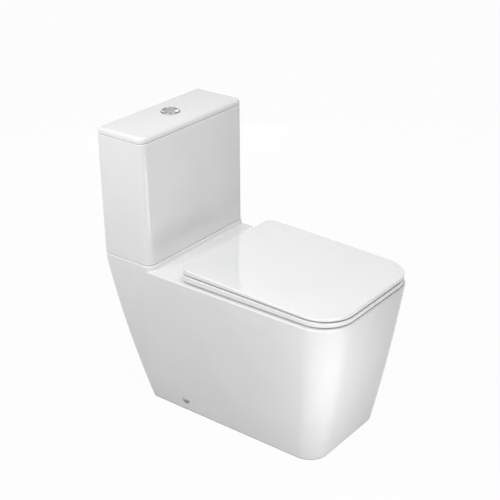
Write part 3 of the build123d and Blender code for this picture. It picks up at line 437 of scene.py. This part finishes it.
def makePan():
    p = panSize
    rim = p["rimHeight"]
    under = rim - p["deck"]
    fullDepth = p["bowlDepth"] + p["bowlWall"]
    glazed, bare = 0, 1  # places in the pan's list of finishes
    underSteps, innerSteps, skirtSteps, bowlSteps, openSteps = 16, 12, 26, 30, 6
    loops = []
    bands = []

    def lay(outline, height, finish):
        loops.append(level(outline, height))
        bands.append(finish)

    # bowl seen from below
    bottom = rim - fullDepth
    belly = p["underEdge"]
    lay(bowlLine(1, p["bowlWall"] - p["underFlat"]), bottom, bare)
    for a in quarter(5):
        height = bottom + belly * (1 - cos(a))
        lay(bowlLine((rim - height) / fullDepth, p["bowlWall"] - belly * (1 - sin(a))), height, bare)
    for i in range(1, underSteps + 1):
        height = bottom + belly + (under - bottom - belly) * i / underSteps
        lay(bowlLine((rim - height) / fullDepth, p["bowlWall"]), height, bare)
    # deck from below and the inside of the skirt
    edge = p["innerEdge"]
    for a in quarter(4):
        height = under - edge * (1 - cos(a))
        lay(skirtLine(height, p["wall"] + edge * (1 - sin(a))), height, bare)
    for i in range(1, innerSteps + 1):
        height = (under - edge) * (1 - i / innerSteps)
        lay(skirtLine(height, p["wall"]), height, bare)
    # foot and the outside of the skirt
    # the rounded foot is bare biscuit: an unglazed foot, and also painted shade as a dark line along the
    # bottom edge
    foot = p["footEdge"]
    for a in quarter(4):
        height = foot * (1 - cos(a))
        lay(skirtLine(height, foot * (1 - sin(a))), height, bare)
    top = rim - p["rimEdge"]
    for i in range(1, skirtSteps + 1):
        height = foot + (top - foot) * i / skirtSteps
        lay(skirtLine(height), height, glazed)
    for a in quarter(7)[1:]:
        height = top + p["rimEdge"] * sin(a)
        lay(skirtLine(height, p["rimEdge"] * (1 - cos(a))), height, glazed)
    # deck, the soft mouth and the inside of the bowl
    mouthEdge = p["bowlEdge"]
    for a in quarter(8):
        height = rim - mouthEdge * (1 - cos(a))
        lay(bowlLine((rim - height) / p["bowlDepth"], mouthEdge * (1 - sin(a))), height, glazed)
    floor = rim - p["bowlDepth"]
    low = floor + p["sumpEdge"]
    for i in range(1, bowlSteps + 1):
        height = rim - mouthEdge + (low - rim + mouthEdge) * i / bowlSteps
        lay(bowlLine((rim - height) / p["bowlDepth"], 0), height, glazed)
    for a in quarter(6)[1:]:
        height = low - p["sumpEdge"] * sin(a)
        lay(bowlLine((rim - height) / p["bowlDepth"], -p["sumpEdge"] * (1 - cos(a))), height, glazed)
    lay(bowlLine(1, -p["sumpEdge"] - p["sumpFlat"]), floor, glazed)
    pan = skin("panBody", loops, [glaze, biscuit], bands[1:] + [glazed])

    # back of the skirt, open to the wall
    opening = []
    for i in range(openSteps + 1):
        height = -p["cutPast"] + (under - p["openShort"] + p["cutPast"]) * i / openSteps
        half = sideAt(max(height, 0)) - p["wall"] - p["openMargin"]
        rear = wallY + taper(max(height, 0), -p["footRearSetback"], 0, p["rearBulge"])
        near, far = rear - p["openDepth"], rear + p["openPast"]
        opening.append(level([(-half, near), (half, near), (half, far), (-half, far)], height))
    carve(pan, skin("tool", opening, [biscuit, biscuit], [bare] * openSteps))

    # plinth under the cistern, with a soft foot along its front
    front = wallY - p["plinthSetback"]
    step = p["plinthFoot"]

    def plinthLine(height, inset=0, spread=0):
        half = sideAt(height) - p["plinthInset"] - inset
        line = softOutline(half, front + inset, wallY - p["plinthInset"] - inset, p["plinthCorner"] - inset,
                           p["rearCorner"] - inset)
        spreadLine = []
        for x, y in line:
            share = min(max((front + p["plinthCorner"] - y) / p["plinthCorner"], 0), 1)
            spreadLine.append((x, y - spread * share**2))
        return spreadLine

    plinth = [level(plinthLine(height, 0, step + p["plinthSpread"]), height)
              for height in (rim - p["plinthRoot"], rim - p["plinthSink"])]
    for a in quarter(6):
        height = rim + step * (1 - cos(a))
        plinth.append(level(plinthLine(height, 0, step * (1 - sin(a))), height))
    for a in quarter(5):
        height = p["plinthTop"] - p["plinthEdge"] * (1 - sin(a))
        plinth.append(level(plinthLine(height, p["plinthEdge"] * (1 - cos(a))), height))
    carve(pan, skin("tool", plinth, [glaze, biscuit]), "UNION")

    # trap mouth, a third along the sump, and flush duct
    trapAt = Vector((0, wallY - p["sumpSetback"] - p["sumpLength"] / 3, floor + p["trapRise"])) * mm
    bend = Matrix.Translation(trapAt) @ Matrix.Rotation(radians(p["trapTilt"]), 4, "X")
    mouth = [level(circle((0, 0), p["trapBore"] / 2, steps=56), z) for z in (0, p["trapReach"])]
    carve(pan, skin("tool", mouth, [glaze, glaze], turn=bend))
    middle = (p["ductTop"] + p["ductFloor"]) / 2
    ductLine = softOutline(p["ductWidth"] / 2, p["ductFloor"] - middle, p["ductTop"] - middle,
                           p["ductCorner"], p["ductCorner"])
    duct = [[(x, y, middle + z) for x, z in reversed(ductLine)]
            for y in (wallY - p["sumpSetback"], wallY - p["bowlRearSetback"] + p["ductReach"])]
    carve(pan, skin("tool", duct, [glaze, glaze]))

    # holes in the deck for the fill valve, the flush water, the cistern bolts and the hinges
    fitting = wallY - p["fittingSetback"]
    holes = [(p["fillOffset"], fitting, p["fillHole"]), (0, fitting, p["inletHole"])]
    holes += [(side * p["boltOffset"], fitting, p["boltHole"]) for side in (-1, 1)]
    holes += [(side * p["hingeOffset"], wallY - p["hingeSetback"], p["hingeHole"]) for side in (-1, 1)]
    holeLow, holeHigh = under - p["holeDrop"], p["plinthTop"] + p["cutPast"]
    for x, y, radius in holes:
        carve(pan, post(x, y, holeLow, holeHigh, radius, [biscuit, biscuit]))
    smooth(pan, sharpAngle=38)
    place(pan, "root", "ceramic_glaze", "pan", "pan_bowl")
    print("pan made:", len(pan.data.polygons), "faces")


makePan()


# cistern: open tank, soft at every edge

tankSize = {
    "base": 408.3, "height": 314.8, "halfWidth": 191.8, "sideFlare": 4.6, "depth": 141.6, "frontLean": 3.9,
    "frontCorner": 20, "rearCorner": 2, "edge": 3.2, "footEdge": 1.4, "lip": 2,
    "wall": 9, "floor": 16, "innerEdge": 8,
    "valveHole": 30, "fillHole": 11.8, "boltHole": 5, "cutPast": 6,
}


def tankLine(height, inset=0):
    t = tankSize
    share = (height - t["base"]) / t["height"]
    return softOutline(
        t["halfWidth"] - t["sideFlare"] * (1 - share) - inset,
        wallY - t["depth"] - t["frontLean"] * (1 - share) + inset,
        wallY - inset,
        t["frontCorner"] - inset,
        t["rearCorner"] - inset,
    )


def makeTank():
    t = tankSize
    top = t["base"] + t["height"]
    floor = t["base"] + t["floor"]
    edge = t["edge"]
    foot = t["footEdge"]
    lip = t["lip"]
    wallSteps = 9
    loops = []
    for a in quarter(5):
        height = t["base"] + foot * (1 - cos(a))
        loops.append(level(tankLine(height, foot * (1 - sin(a))), height))
    for i in range(1, wallSteps + 1):
        height = t["base"] + foot + (t["height"] - foot - edge) * i / wallSteps
        loops.append(level(tankLine(height), height))
    for a in quarter(6)[1:]:
        height = top - edge * (1 - sin(a))
        loops.append(level(tankLine(height, edge * (1 - cos(a))), height))
    for a in quarter(4):
        height = top - lip * (1 - cos(a))
        loops.append(level(tankLine(height, t["wall"] - lip * (1 - sin(a))), height))
    loops.append(level(tankLine(floor + t["innerEdge"], t["wall"]), floor + t["innerEdge"]))
    for a in quarter(5)[1:]:
        height = floor + t["innerEdge"] * (1 - sin(a))
        loops.append(level(tankLine(height, t["wall"] + t["innerEdge"] * (1 - cos(a))), height))
    tank = skin("cisternTank", loops, [glaze])
    fitting = wallY - panSize["fittingSetback"]
    holes = [(0, fitting, t["valveHole"]), (panSize["fillOffset"], fitting, t["fillHole"])]
    holes += [(side * panSize["boltOffset"], fitting, t["boltHole"]) for side in (-1, 1)]
    for x, y, radius in holes:
        carve(tank, post(x, y, t["base"] - t["cutPast"], floor + t["cutPast"], radius, [glaze]))
    smooth(tank)
    place(tank, "root", "ceramic_glaze", "cistern")
    print("tank made:", len(tank.data.polygons), "faces")


makeTank()


# cistern lid: slab with a full round edge and a locating lip under it

tankLidSize = {
    "base": 724.3, "top": 739.2, "edge": 9, "underEdge": 1.0, "rearEdge": 2.5, "rearCorner": 6,
    "lipInset": 11, "lipWall": 8, "lipDrop": 8, "buttonHole": 21, "cutBelow": 20, "cutAbove": 6,
}


def makeTankLid():
    s = tankLidSize
    t = tankSize

    def line(inset):
        # the back edge is rounded less than the others
        return softOutline(t["halfWidth"] - inset, wallY - t["depth"] + inset,
                           wallY - inset * s["rearEdge"] / s["edge"], t["frontCorner"] - inset,
                           s["rearCorner"] - inset * s["rearEdge"] / s["edge"])

    inner = s["lipInset"] + s["lipWall"]
    seat = t["base"] + t["height"]
    lip = ((inner, 0), (inner, s["lipDrop"]), (s["lipInset"], s["lipDrop"]), (s["lipInset"], 0))
    loops = [level(tankLine(seat, inset), s["base"] - drop) for inset, drop in lip]
    for a in quarter(3):
        loops.append(level(line(s["underEdge"] * (1 - sin(a))), s["base"] + s["underEdge"] * (1 - cos(a))))
    for a in quarter(12):
        loops.append(level(line(s["edge"] * (1 - cos(a))), s["top"] - s["edge"] * (1 - sin(a))))
    lid = skin("cisternLid", loops, [glaze])
    low, high = s["base"] - s["cutBelow"], s["top"] + s["cutAbove"]
    carve(lid, post(0, wallY - panSize["fittingSetback"], low, high, s["buttonHole"], [glaze], steps=64))
    smooth(lid)
    place(lid, "root", "ceramic_glaze", "cistern_lid")
    print("cistern lid made:", len(lid.data.polygons), "faces")


makeTankLid()


# seat ring and seat lid

seatSize = {
    "halfWidth": 182, "rearSetback": 232, "frontCorner": 84, "rearCorner": 25,
    "openHalf": 113, "openFrontMargin": 62, "openRearMargin": 82, "openCorner": 96,
    "ringBase": 396.8, "ringRear": 18.0, "ringFront": 12.5, "ringDraft": 1.2,
    "ringTopEdge": 2.6, "ringInnerEdge": 7.5, "ringBottomEdge": 4,
    "notchInner": 50, "notchOuter": 88, "notchDepth": 22, "notchCorner": 3,
    "notchPast": 20, "notchBelow": 10, "notchAbove": 40,
    "gap": 3.8, "lidShort": 2.6, "lidRear": 14.4, "lidFront": 9.8, "lidDraft": 0.8,
    "lidEdge": 2.2, "lidEdgeReach": 2.4, "lidRearReach": 1.6, "lidUnderEdge": 0.9,
    "lidCrown": 1.0, "lidFrontCrown": 4.8, "crownPower": 4,
    "crownInsets": (14, 22, 34, 50, 70), "crownShares": (0.85, 0.7, 0.55, 0.4, 0.25, 0.1, 0.02),
    "lipWidth": 5, "rearLip": 34, "panelSlope": 4, "panelDepth": 4.6,
    "panelShares": (0.05, 0.3, 0.6, 0.85, 1),
    "padMargin": 36, "padFront": 118, "padRear": 92, "padLength": 38, "padWidth": 22, "padCorner": 8,
    "padLift": 0.1, "padRoot": 1,
}
seatFront = wallY - panSize["depth"]
seatRear = wallY - seatSize["rearSetback"]
seatSteps = {"arcSteps": 22, "sideSteps": 18}
smallSteps = {"arcSteps": 6, "sideSteps": 2, "endSteps": 2}


def seatLine(inset, rearInset=None):
    s = seatSize
    rear = inset if rearInset is None else rearInset
    return softOutline(s["halfWidth"] - inset, seatFront + inset, seatRear - rear, s["frontCorner"] - inset,
                       s["rearCorner"] - inset, **seatSteps)


def openLine(grow):
    s = seatSize
    return softOutline(s["openHalf"] + grow, seatFront + s["openFrontMargin"] - grow,
                       seatRear - s["openRearMargin"] + grow, s["openCorner"] + grow, s["openCorner"] + grow,
                       **seatSteps)


def rearShare(y):
    return min(max((y - seatFront) / (seatRear - seatFront), 0), 1)


def ringTop(y):
    s = seatSize
    return s["ringBase"] + s["ringFront"] + (s["ringRear"] - s["ringFront"]) * rearShare(y)


def makeSeatRing():
    s = seatSize
    loops = []
    for a in quarter(5):
        inset = s["ringDraft"] + s["ringBottomEdge"] * (1 - sin(a))
        loops.append(level(seatLine(inset), s["ringBase"] + s["ringBottomEdge"] * (1 - cos(a))))
    for a in quarter(8):
        drop = s["ringTopEdge"] * (1 - sin(a))
        loops.append([(x, y, ringTop(y) - drop) for x, y in seatLine(s["ringTopEdge"] * (1 - cos(a)))])
    for a in quarter(8):
        drop = s["ringInnerEdge"] * (1 - cos(a))
        loops.append([(x, y, ringTop(y) - drop) for x, y in openLine(s["ringInnerEdge"] * (1 - sin(a)))])
    for a in quarter(5):
        height = s["ringBase"] + s["ringBottomEdge"] * (1 - sin(a))
        loops.append(level(openLine(s["ringBottomEdge"] * (1 - cos(a))), height))
    ring = skin("seatRing", loops, [seatGloss], ring=True)
    # room for the hinge posts
    low, high = s["ringBase"] - s["notchBelow"], s["ringBase"] + s["notchAbove"]
    for side in (-1, 1):
        near, far = sorted((side * s["notchInner"], side * s["notchOuter"]))
        line = softOutline((far - near) / 2, seatRear - s["notchDepth"], seatRear + s["notchPast"],
                           s["notchCorner"], s["notchCorner"], **smallSteps)
        line = [(x + (near + far) / 2, y) for x, y in line]
        carve(ring, skin("tool", [level(line, low), level(line, high)], [seatGloss]))
    smooth(ring)
    place(ring, "ring", "seat_plastic", "seat_ring")
    print("seat ring made:", len(ring.data.polygons), "faces")


def makeSeatLid():
    s = seatSize
    middle = (0, (seatFront + seatRear) / 2)
    slopeSteps = 5
    loops = []

    def under(y):
        return ringTop(y) + s["gap"]

    def over(x, y):
        share = rearShare(y)
        top = under(y) + s["lidFront"] + (s["lidRear"] - s["lidFront"]) * share
        fall = s["lidCrown"] + s["lidFrontCrown"] * (1 - share)
        return top - fall * (abs(x) / s["halfWidth"])**s["crownPower"]

    def panelLine(grow):
        # hollow underside, with a wider lip at the hinge
        inset = s["lipWidth"] + s["panelSlope"] - grow
        return softOutline(s["halfWidth"] - inset, seatFront + inset, seatRear - s["rearLip"] + grow,
                           s["frontCorner"] - inset, s["rearCorner"] - inset, **seatSteps)

    inside = panelLine(0)
    for share in s["panelShares"]:
        loops.append([(x, y, under(y) + s["panelDepth"]) for x, y in shrunk(inside, share, middle)])
    for i in range(1, slopeSteps + 1):
        t = i / slopeSteps
        fall = s["panelDepth"] * (1 - t * t * (3 - 2 * t))
        loops.append([(x, y, under(y) + fall) for x, y in panelLine(s["panelSlope"] * t)])
    # the rear stays short of the ring, which leaves room to swing
    for a in quarter(4):
        rise = s["lidUnderEdge"] * (1 - cos(a))
        inset = s["lidDraft"] + s["lidUnderEdge"] * (1 - sin(a))
        loops.append([(x, y, under(y) + rise) for x, y in seatLine(inset, s["lidShort"] + inset)])
    for a in quarter(10):
        drop = s["lidEdge"] * (1 - sin(a))
        inset = 1 - cos(a)
        line = seatLine(s["lidEdgeReach"] * inset, s["lidShort"] + s["lidRearReach"] * inset)
        loops.append([(x, y, over(x, y) - drop) for x, y in line])
    for inset in s["crownInsets"]:
        loops.append([(x, y, over(x, y)) for x, y in seatLine(inset)])
    crown = seatLine(s["crownInsets"][-1])
    for share in s["crownShares"]:
        loops.append([(x, y, over(x, y)) for x, y in shrunk(crown, share, middle)])
    lid = skin("seatLid", loops, [seatGloss])
    # pads that carry the buffers
    padLevels = (s["padLift"], s["panelDepth"] + s["padRoot"])
    for side in (-1, 1):
        for row in (seatFront + s["padFront"], seatRear - s["padRear"]):
            pad = softOutline(s["padWidth"] / 2, -s["padLength"] / 2, s["padLength"] / 2,
                              s["padCorner"], s["padCorner"], **smallSteps)
            pad = [(x + side * (s["halfWidth"] - s["padMargin"]), y + row) for x, y in pad]
            padLoops = [[(x, y, under(y) + lift) for x, y in pad] for lift in padLevels]
            carve(lid, skin("tool", padLoops, [seatGloss]), "UNION")
    smooth(lid)
    place(lid, "lid", "seat_plastic", "seat_lid")
    print("seat lid made:", len(lid.data.polygons), "faces")


makeSeatRing()
makeSeatLid()


# flush button: rolled bezel and two dished halves

buttonSize = {
    "bezelRadius": 25, "bezelBase": 738, "bezelTop": 742.5,
    "bezelUnder": 0.4, "bezelFoot": 0.5, "bezelRoll": 3.2,
    "bore": 18.8, "lip": 2.4, "lipSink": 0.2, "tubeRadius": 20.5, "tubeBottom": 711, "tubeFloor": 714,
    "tubeChamfer": 0.8, "floorChamfer": 0.6, "floorInset": 4, "rodOffset": 11, "rodHole": 2.9, "cutPast": 3,
    "radius": 18.5, "top": 741.3, "base": 729.3, "split": -6, "halfGap": 0.3, "dish": 4.4, "edge": 0.9,
    "baseChamfer": 0.4, "arcShare": 0.75, "dishShares": (0.85, 0.7, 0.5, 0.3, 0.12),
}


def makeBezel():
    b = buttonSize
    centre = (0, wallY - panSize["fittingSetback"])
    profile = [
        (b["bore"] - b["floorInset"], b["tubeBottom"]),
        (b["tubeRadius"] - b["tubeChamfer"], b["tubeBottom"]),
        (b["tubeRadius"], b["tubeBottom"] + b["tubeChamfer"]),
        (b["tubeRadius"], b["bezelBase"]),
        (b["bezelRadius"] - b["bezelUnder"], b["bezelBase"]),
    ]
    rise = b["bezelTop"] - b["bezelBase"]
    foot = b["bezelFoot"]
    for a in quarter(8):
        radius = b["bezelRadius"] - b["bezelRoll"] * (1 - cos(a))
        profile.append((radius, b["bezelBase"] + foot + (rise - foot) * sin(a)))
    for a in quarter(5):
        height = b["bezelTop"] - b["lipSink"] - b["lip"] * (1 - cos(a))
        profile.append((b["bore"] + b["lip"] * (1 - sin(a)), height))
    profile += [
        (b["bore"], b["tubeFloor"] + b["floorChamfer"]),
        (b["bore"] - b["floorChamfer"], b["tubeFloor"]),
        (b["bore"] - b["floorInset"], b["tubeFloor"]),
    ]
    loops = [level(circle(centre, r, steps=96), z) for r, z in profile]
    bezel = skin("buttonBezel", loops, [chromeBezel])
    low, high = b["tubeBottom"] - b["cutPast"], b["tubeFloor"] + b["cutPast"]
    for side in (-1, 1):
        carve(bezel, post(side * b["rodOffset"], centre[1], low, high, b["rodHole"], [chromeBezel], steps=32))
    smooth(bezel, sharpAngle=50)
    place(bezel, "root", "chrome", "button_bezel")


def buttonLine(side, inset, steps=72):
    # round outline cut straight along the split
    b = buttonSize
    radius = b["radius"] - inset
    cut = b["split"] + side * (b["halfGap"] + inset)
    reach = sqrt(radius**2 - cut**2)
    turn = atan(reach / abs(cut))
    half = pi - turn if side > 0 else turn
    base = 0 if side > 0 else pi
    points = []
    arcSteps = int(steps * b["arcShare"])
    for i in range(arcSteps + 1):
        a = base - half + 2 * half * i / arcSteps
        points.append((radius * cos(a), radius * sin(a)))
    chordSteps = steps - arcSteps
    start, end = points[-1], points[0]
    for i in range(1, chordSteps):
        t = i / chordSteps
        points.append((start[0] + (end[0] - start[0]) * t, start[1] + (end[1] - start[1]) * t))
    return points


def makeButton(name, side, body, node):
    b = buttonSize
    centreY = wallY - panSize["fittingSetback"]

    def dished(x, y, drop=0):
        return b["top"] - b["dish"] * (1 - (x * x + y * y) / b["radius"]**2) - drop

    loops = [level(buttonLine(side, b["baseChamfer"]), b["base"]),
             level(buttonLine(side, 0), b["base"] + b["baseChamfer"])]
    for a in quarter(5):
        drop = b["edge"] * (1 - sin(a))
        loops.append([(x, y, dished(x, y, drop)) for x, y in buttonLine(side, b["edge"] * (1 - cos(a)))])
    rim = buttonLine(side, b["edge"])
    middle = ((max(x for x, y in rim) + min(x for x, y in rim)) / 2, 0)
    for share in b["dishShares"]:
        loops.append([(x, y, dished(x, y)) for x, y in shrunk(rim, share, middle)])
    loops = [[(x, y + centreY, z) for x, y, z in loop] for loop in loops]
    button = skin(name, loops, [chrome])
    smooth(button, sharpAngle=50)
    place(button, body, "chrome", node)


makeBezel()
makeButton("buttonFull", 1, "full_button", "button_full")
makeButton("buttonHalf", -1, "half_button", "button_half")
print("flush button made")


# side caps: low chrome domes over the floor fixings

capSize = {
    "height": 36, "setback": 215, "radius": 10.5, "rise": 3.6, "lift": 0.15, "rim": 0.8, "rimChamfer": 0.3,
    "plug": 7.3, "plugDepth": 3.85, "plugChamfer": 0.6,
}


def makeCap(side):
    c = capSize
    lean = atan((sideAt(c["height"] + 1) - sideAt(c["height"] - 1)) / 2)
    out = Vector((side * cos(lean), 0, -sin(lean)))
    along = Vector((0, 1, 0))
    across = out.cross(along)
    turn = Matrix((along, across, out)).transposed().to_4x4()
    turn.translation = Vector((side * sideAt(c["height"]), wallY - c["setback"], c["height"])) * mm
    dome = c["rise"] - c["lift"] - c["rim"]
    profile = [
        (c["plug"] - c["plugChamfer"], c["lift"] - c["plugDepth"]),
        (c["plug"], c["lift"] - c["plugDepth"] + c["plugChamfer"]),
        (c["plug"], c["lift"]),
        (c["radius"] - c["rimChamfer"], c["lift"]),
        (c["radius"], c["lift"] + c["rimChamfer"]),
    ]
    for a in quarter(12)[:-1]:
        profile.append((c["radius"] * cos(a), c["lift"] + c["rim"] + dome * sin(a)))
    loops = [level(circle((0, 0), r), z) for r, z in profile]
    cap = skin("sideCapLeft" if side < 0 else "sideCapRight", loops, [chromeCap], turn=turn)
    smooth(cap, sharpAngle=50)
    place(cap, "root", "chrome", "side_caps")


for side in (-1, 1):
    makeCap(side)
print("side caps made")


# floor and light, in metres and watts

stageLook = {
    "floorReach": 6.0, "floorWhite": 0.97, "floorDark": (0.44, 0.44, 0.44), "floorLight": (0.48, 0.48, 0.48),
    "floorRoughness": 0.9, "speckScale": 3.0, "worldLight": 0.37,
    "lamps": {
        "leftHighLamp": {
            "place": (-0.91, 0.06, 1.67), "aim": (0.0, 0.1, 0.5), "size": 0.8, "power": 5.7,
        },
        "frontTopLamp": {
            "place": (0.07, -0.43, 1.9), "aim": (0.0, -0.02, 0.36), "size": 0.8, "power": 6.5,
        },
        "cisternLamp": {
            "place": (-0.9, 0.45, 0.75), "aim": (0.0, 0.1, 0.5), "size": 0.5, "power": 2.0,
        },
        "cornerLowLamp": {
            "place": (-0.305, -0.640, 0.228), "aim": (-0.13, -0.28, 0.22), "size": 0.32, "power": 1.09,
        },
        "cornerHighLamp": {
            "place": (-0.661, -0.422, 0.8), "aim": (-0.13, -0.28, 0.22), "size": 0.35, "power": 0.72,
        },
        "backHighLamp": {
            "place": (1.15, 2.04, 1.38), "aim": (0.0, 0.27, 0.7), "size": 0.24, "power": 2.2,
        },
        "backLamp": {
            "place": (1.5, 1.5, 0.5), "aim": (0.0, 0.1, 0.4), "size": 1.2, "power": 11.0,
        },
    },
}


def seenShare(tree):
    # 1 for a ray from the camera, off a gloss or through glass, 0 for light that falls on the part
    path = tree.nodes.new("ShaderNodeLightPath")
    seen = tree.nodes.new("ShaderNodeMath")
    seen.operation = "MAXIMUM"
    through = tree.nodes.new("ShaderNodeMath")
    through.operation = "MAXIMUM"
    tree.links.new(path.outputs["Is Camera Ray"], seen.inputs[0])
    tree.links.new(path.outputs["Is Glossy Ray"], seen.inputs[1])
    tree.links.new(seen.outputs[0], through.inputs[0])
    tree.links.new(path.outputs["Is Transmission Ray"], through.inputs[1])
    return through.outputs[0]


def litFloor():
    # white to the eye and in reflections, with part of it still lit so the shadow stays
    material, tree, shader = newFinish("studioFloor")
    speck = noiseAt(tree, stageLook["speckScale"])
    colour = toneRamp(tree, speck.outputs["Fac"], stageLook["floorDark"], stageLook["floorLight"])
    tree.links.new(colour, shader.inputs["Base Color"])
    shader.inputs["Roughness"].default_value = stageLook["floorRoughness"]
    glow = addNode(tree, "ShaderNodeEmission", Strength=1.0)
    share = tree.nodes.new("ShaderNodeMath")
    share.operation = "MULTIPLY"
    share.inputs[1].default_value = stageLook["floorWhite"]
    tree.links.new(seenShare(tree), share.inputs[0])
    blend = tree.nodes.new("ShaderNodeMixShader")
    tree.links.new(share.outputs[0], blend.inputs["Fac"])
    tree.links.new(shader.outputs["BSDF"], blend.inputs[1])
    tree.links.new(glow.outputs["Emission"], blend.inputs[2])
    tree.links.new(blend.outputs["Shader"], tree.nodes["Material Output"].inputs["Surface"])
    return material


def softLamp(name, look):
    data = bpy.data.lights.new(name, "AREA")
    data.shape = "DISK"
    data.size = look["size"]
    data.energy = look["power"]
    lamp = bpy.data.objects.new(name, data)
    scene.collection.objects.link(lamp)
    lamp.location = look["place"]
    lamp.rotation_euler = (Vector(look["aim"]) - Vector(look["place"])).to_track_quat("-Z", "Y").to_euler()
    lamp.visible_camera = False


def makeStage():
    reach = stageLook["floorReach"]
    corners = [(-reach, -reach, 0), (reach, -reach, 0), (reach, reach, 0), (-reach, reach, 0)]
    mesh = bpy.data.meshes.new("studioFloor")
    mesh.from_pydata(corners, [], [(0, 1, 2, 3)])
    mesh.materials.append(litFloor())
    floor = bpy.data.objects.new("studioFloor", mesh)
    scene.collection.objects.link(floor)
    for name, look in stageLook["lamps"].items():
        softLamp(name, look)
    world = bpy.data.worlds.new("studioWorld")
    scene.world = world
    world.use_nodes = True
    tree = world.node_tree
    back = tree.nodes["Background"]
    back.inputs["Color"].default_value = (1, 1, 1, 1)
    strength = tree.nodes.new("ShaderNodeMapRange")
    strength.inputs["To Min"].default_value = stageLook["worldLight"]
    strength.inputs["To Max"].default_value = 1.0
    tree.links.new(seenShare(tree), strength.inputs["Value"])
    tree.links.new(strength.outputs["Result"], back.inputs["Strength"])


# camera, in metres and degrees

cameraLook = {
    "place": (-2.07156, -1.55466, 1.68548), "azimuth": -52.597, "elevation": 25.693, "roll": -0.20,
    "lens": 84.66, "sensor": 36.0,
}


def makeCamera():
    c = cameraLook
    data = bpy.data.cameras.new("photoCamera")
    data.sensor_fit = "HORIZONTAL"
    data.sensor_width = c["sensor"]
    data.lens = c["lens"]
    camera = bpy.data.objects.new("photoCamera", data)
    scene.collection.objects.link(camera)
    heading = Matrix.Rotation(radians(c["azimuth"]), 4, "Z")
    tilt = heading @ Matrix.Rotation(radians(90 - c["elevation"]), 4, "X")
    camera.matrix_world = Matrix.Translation(c["place"]) @ tilt @ Matrix.Rotation(radians(c["roll"]), 4, "Z")
    scene.camera = camera


makeStage()
makeCamera()
print("stage and camera made")
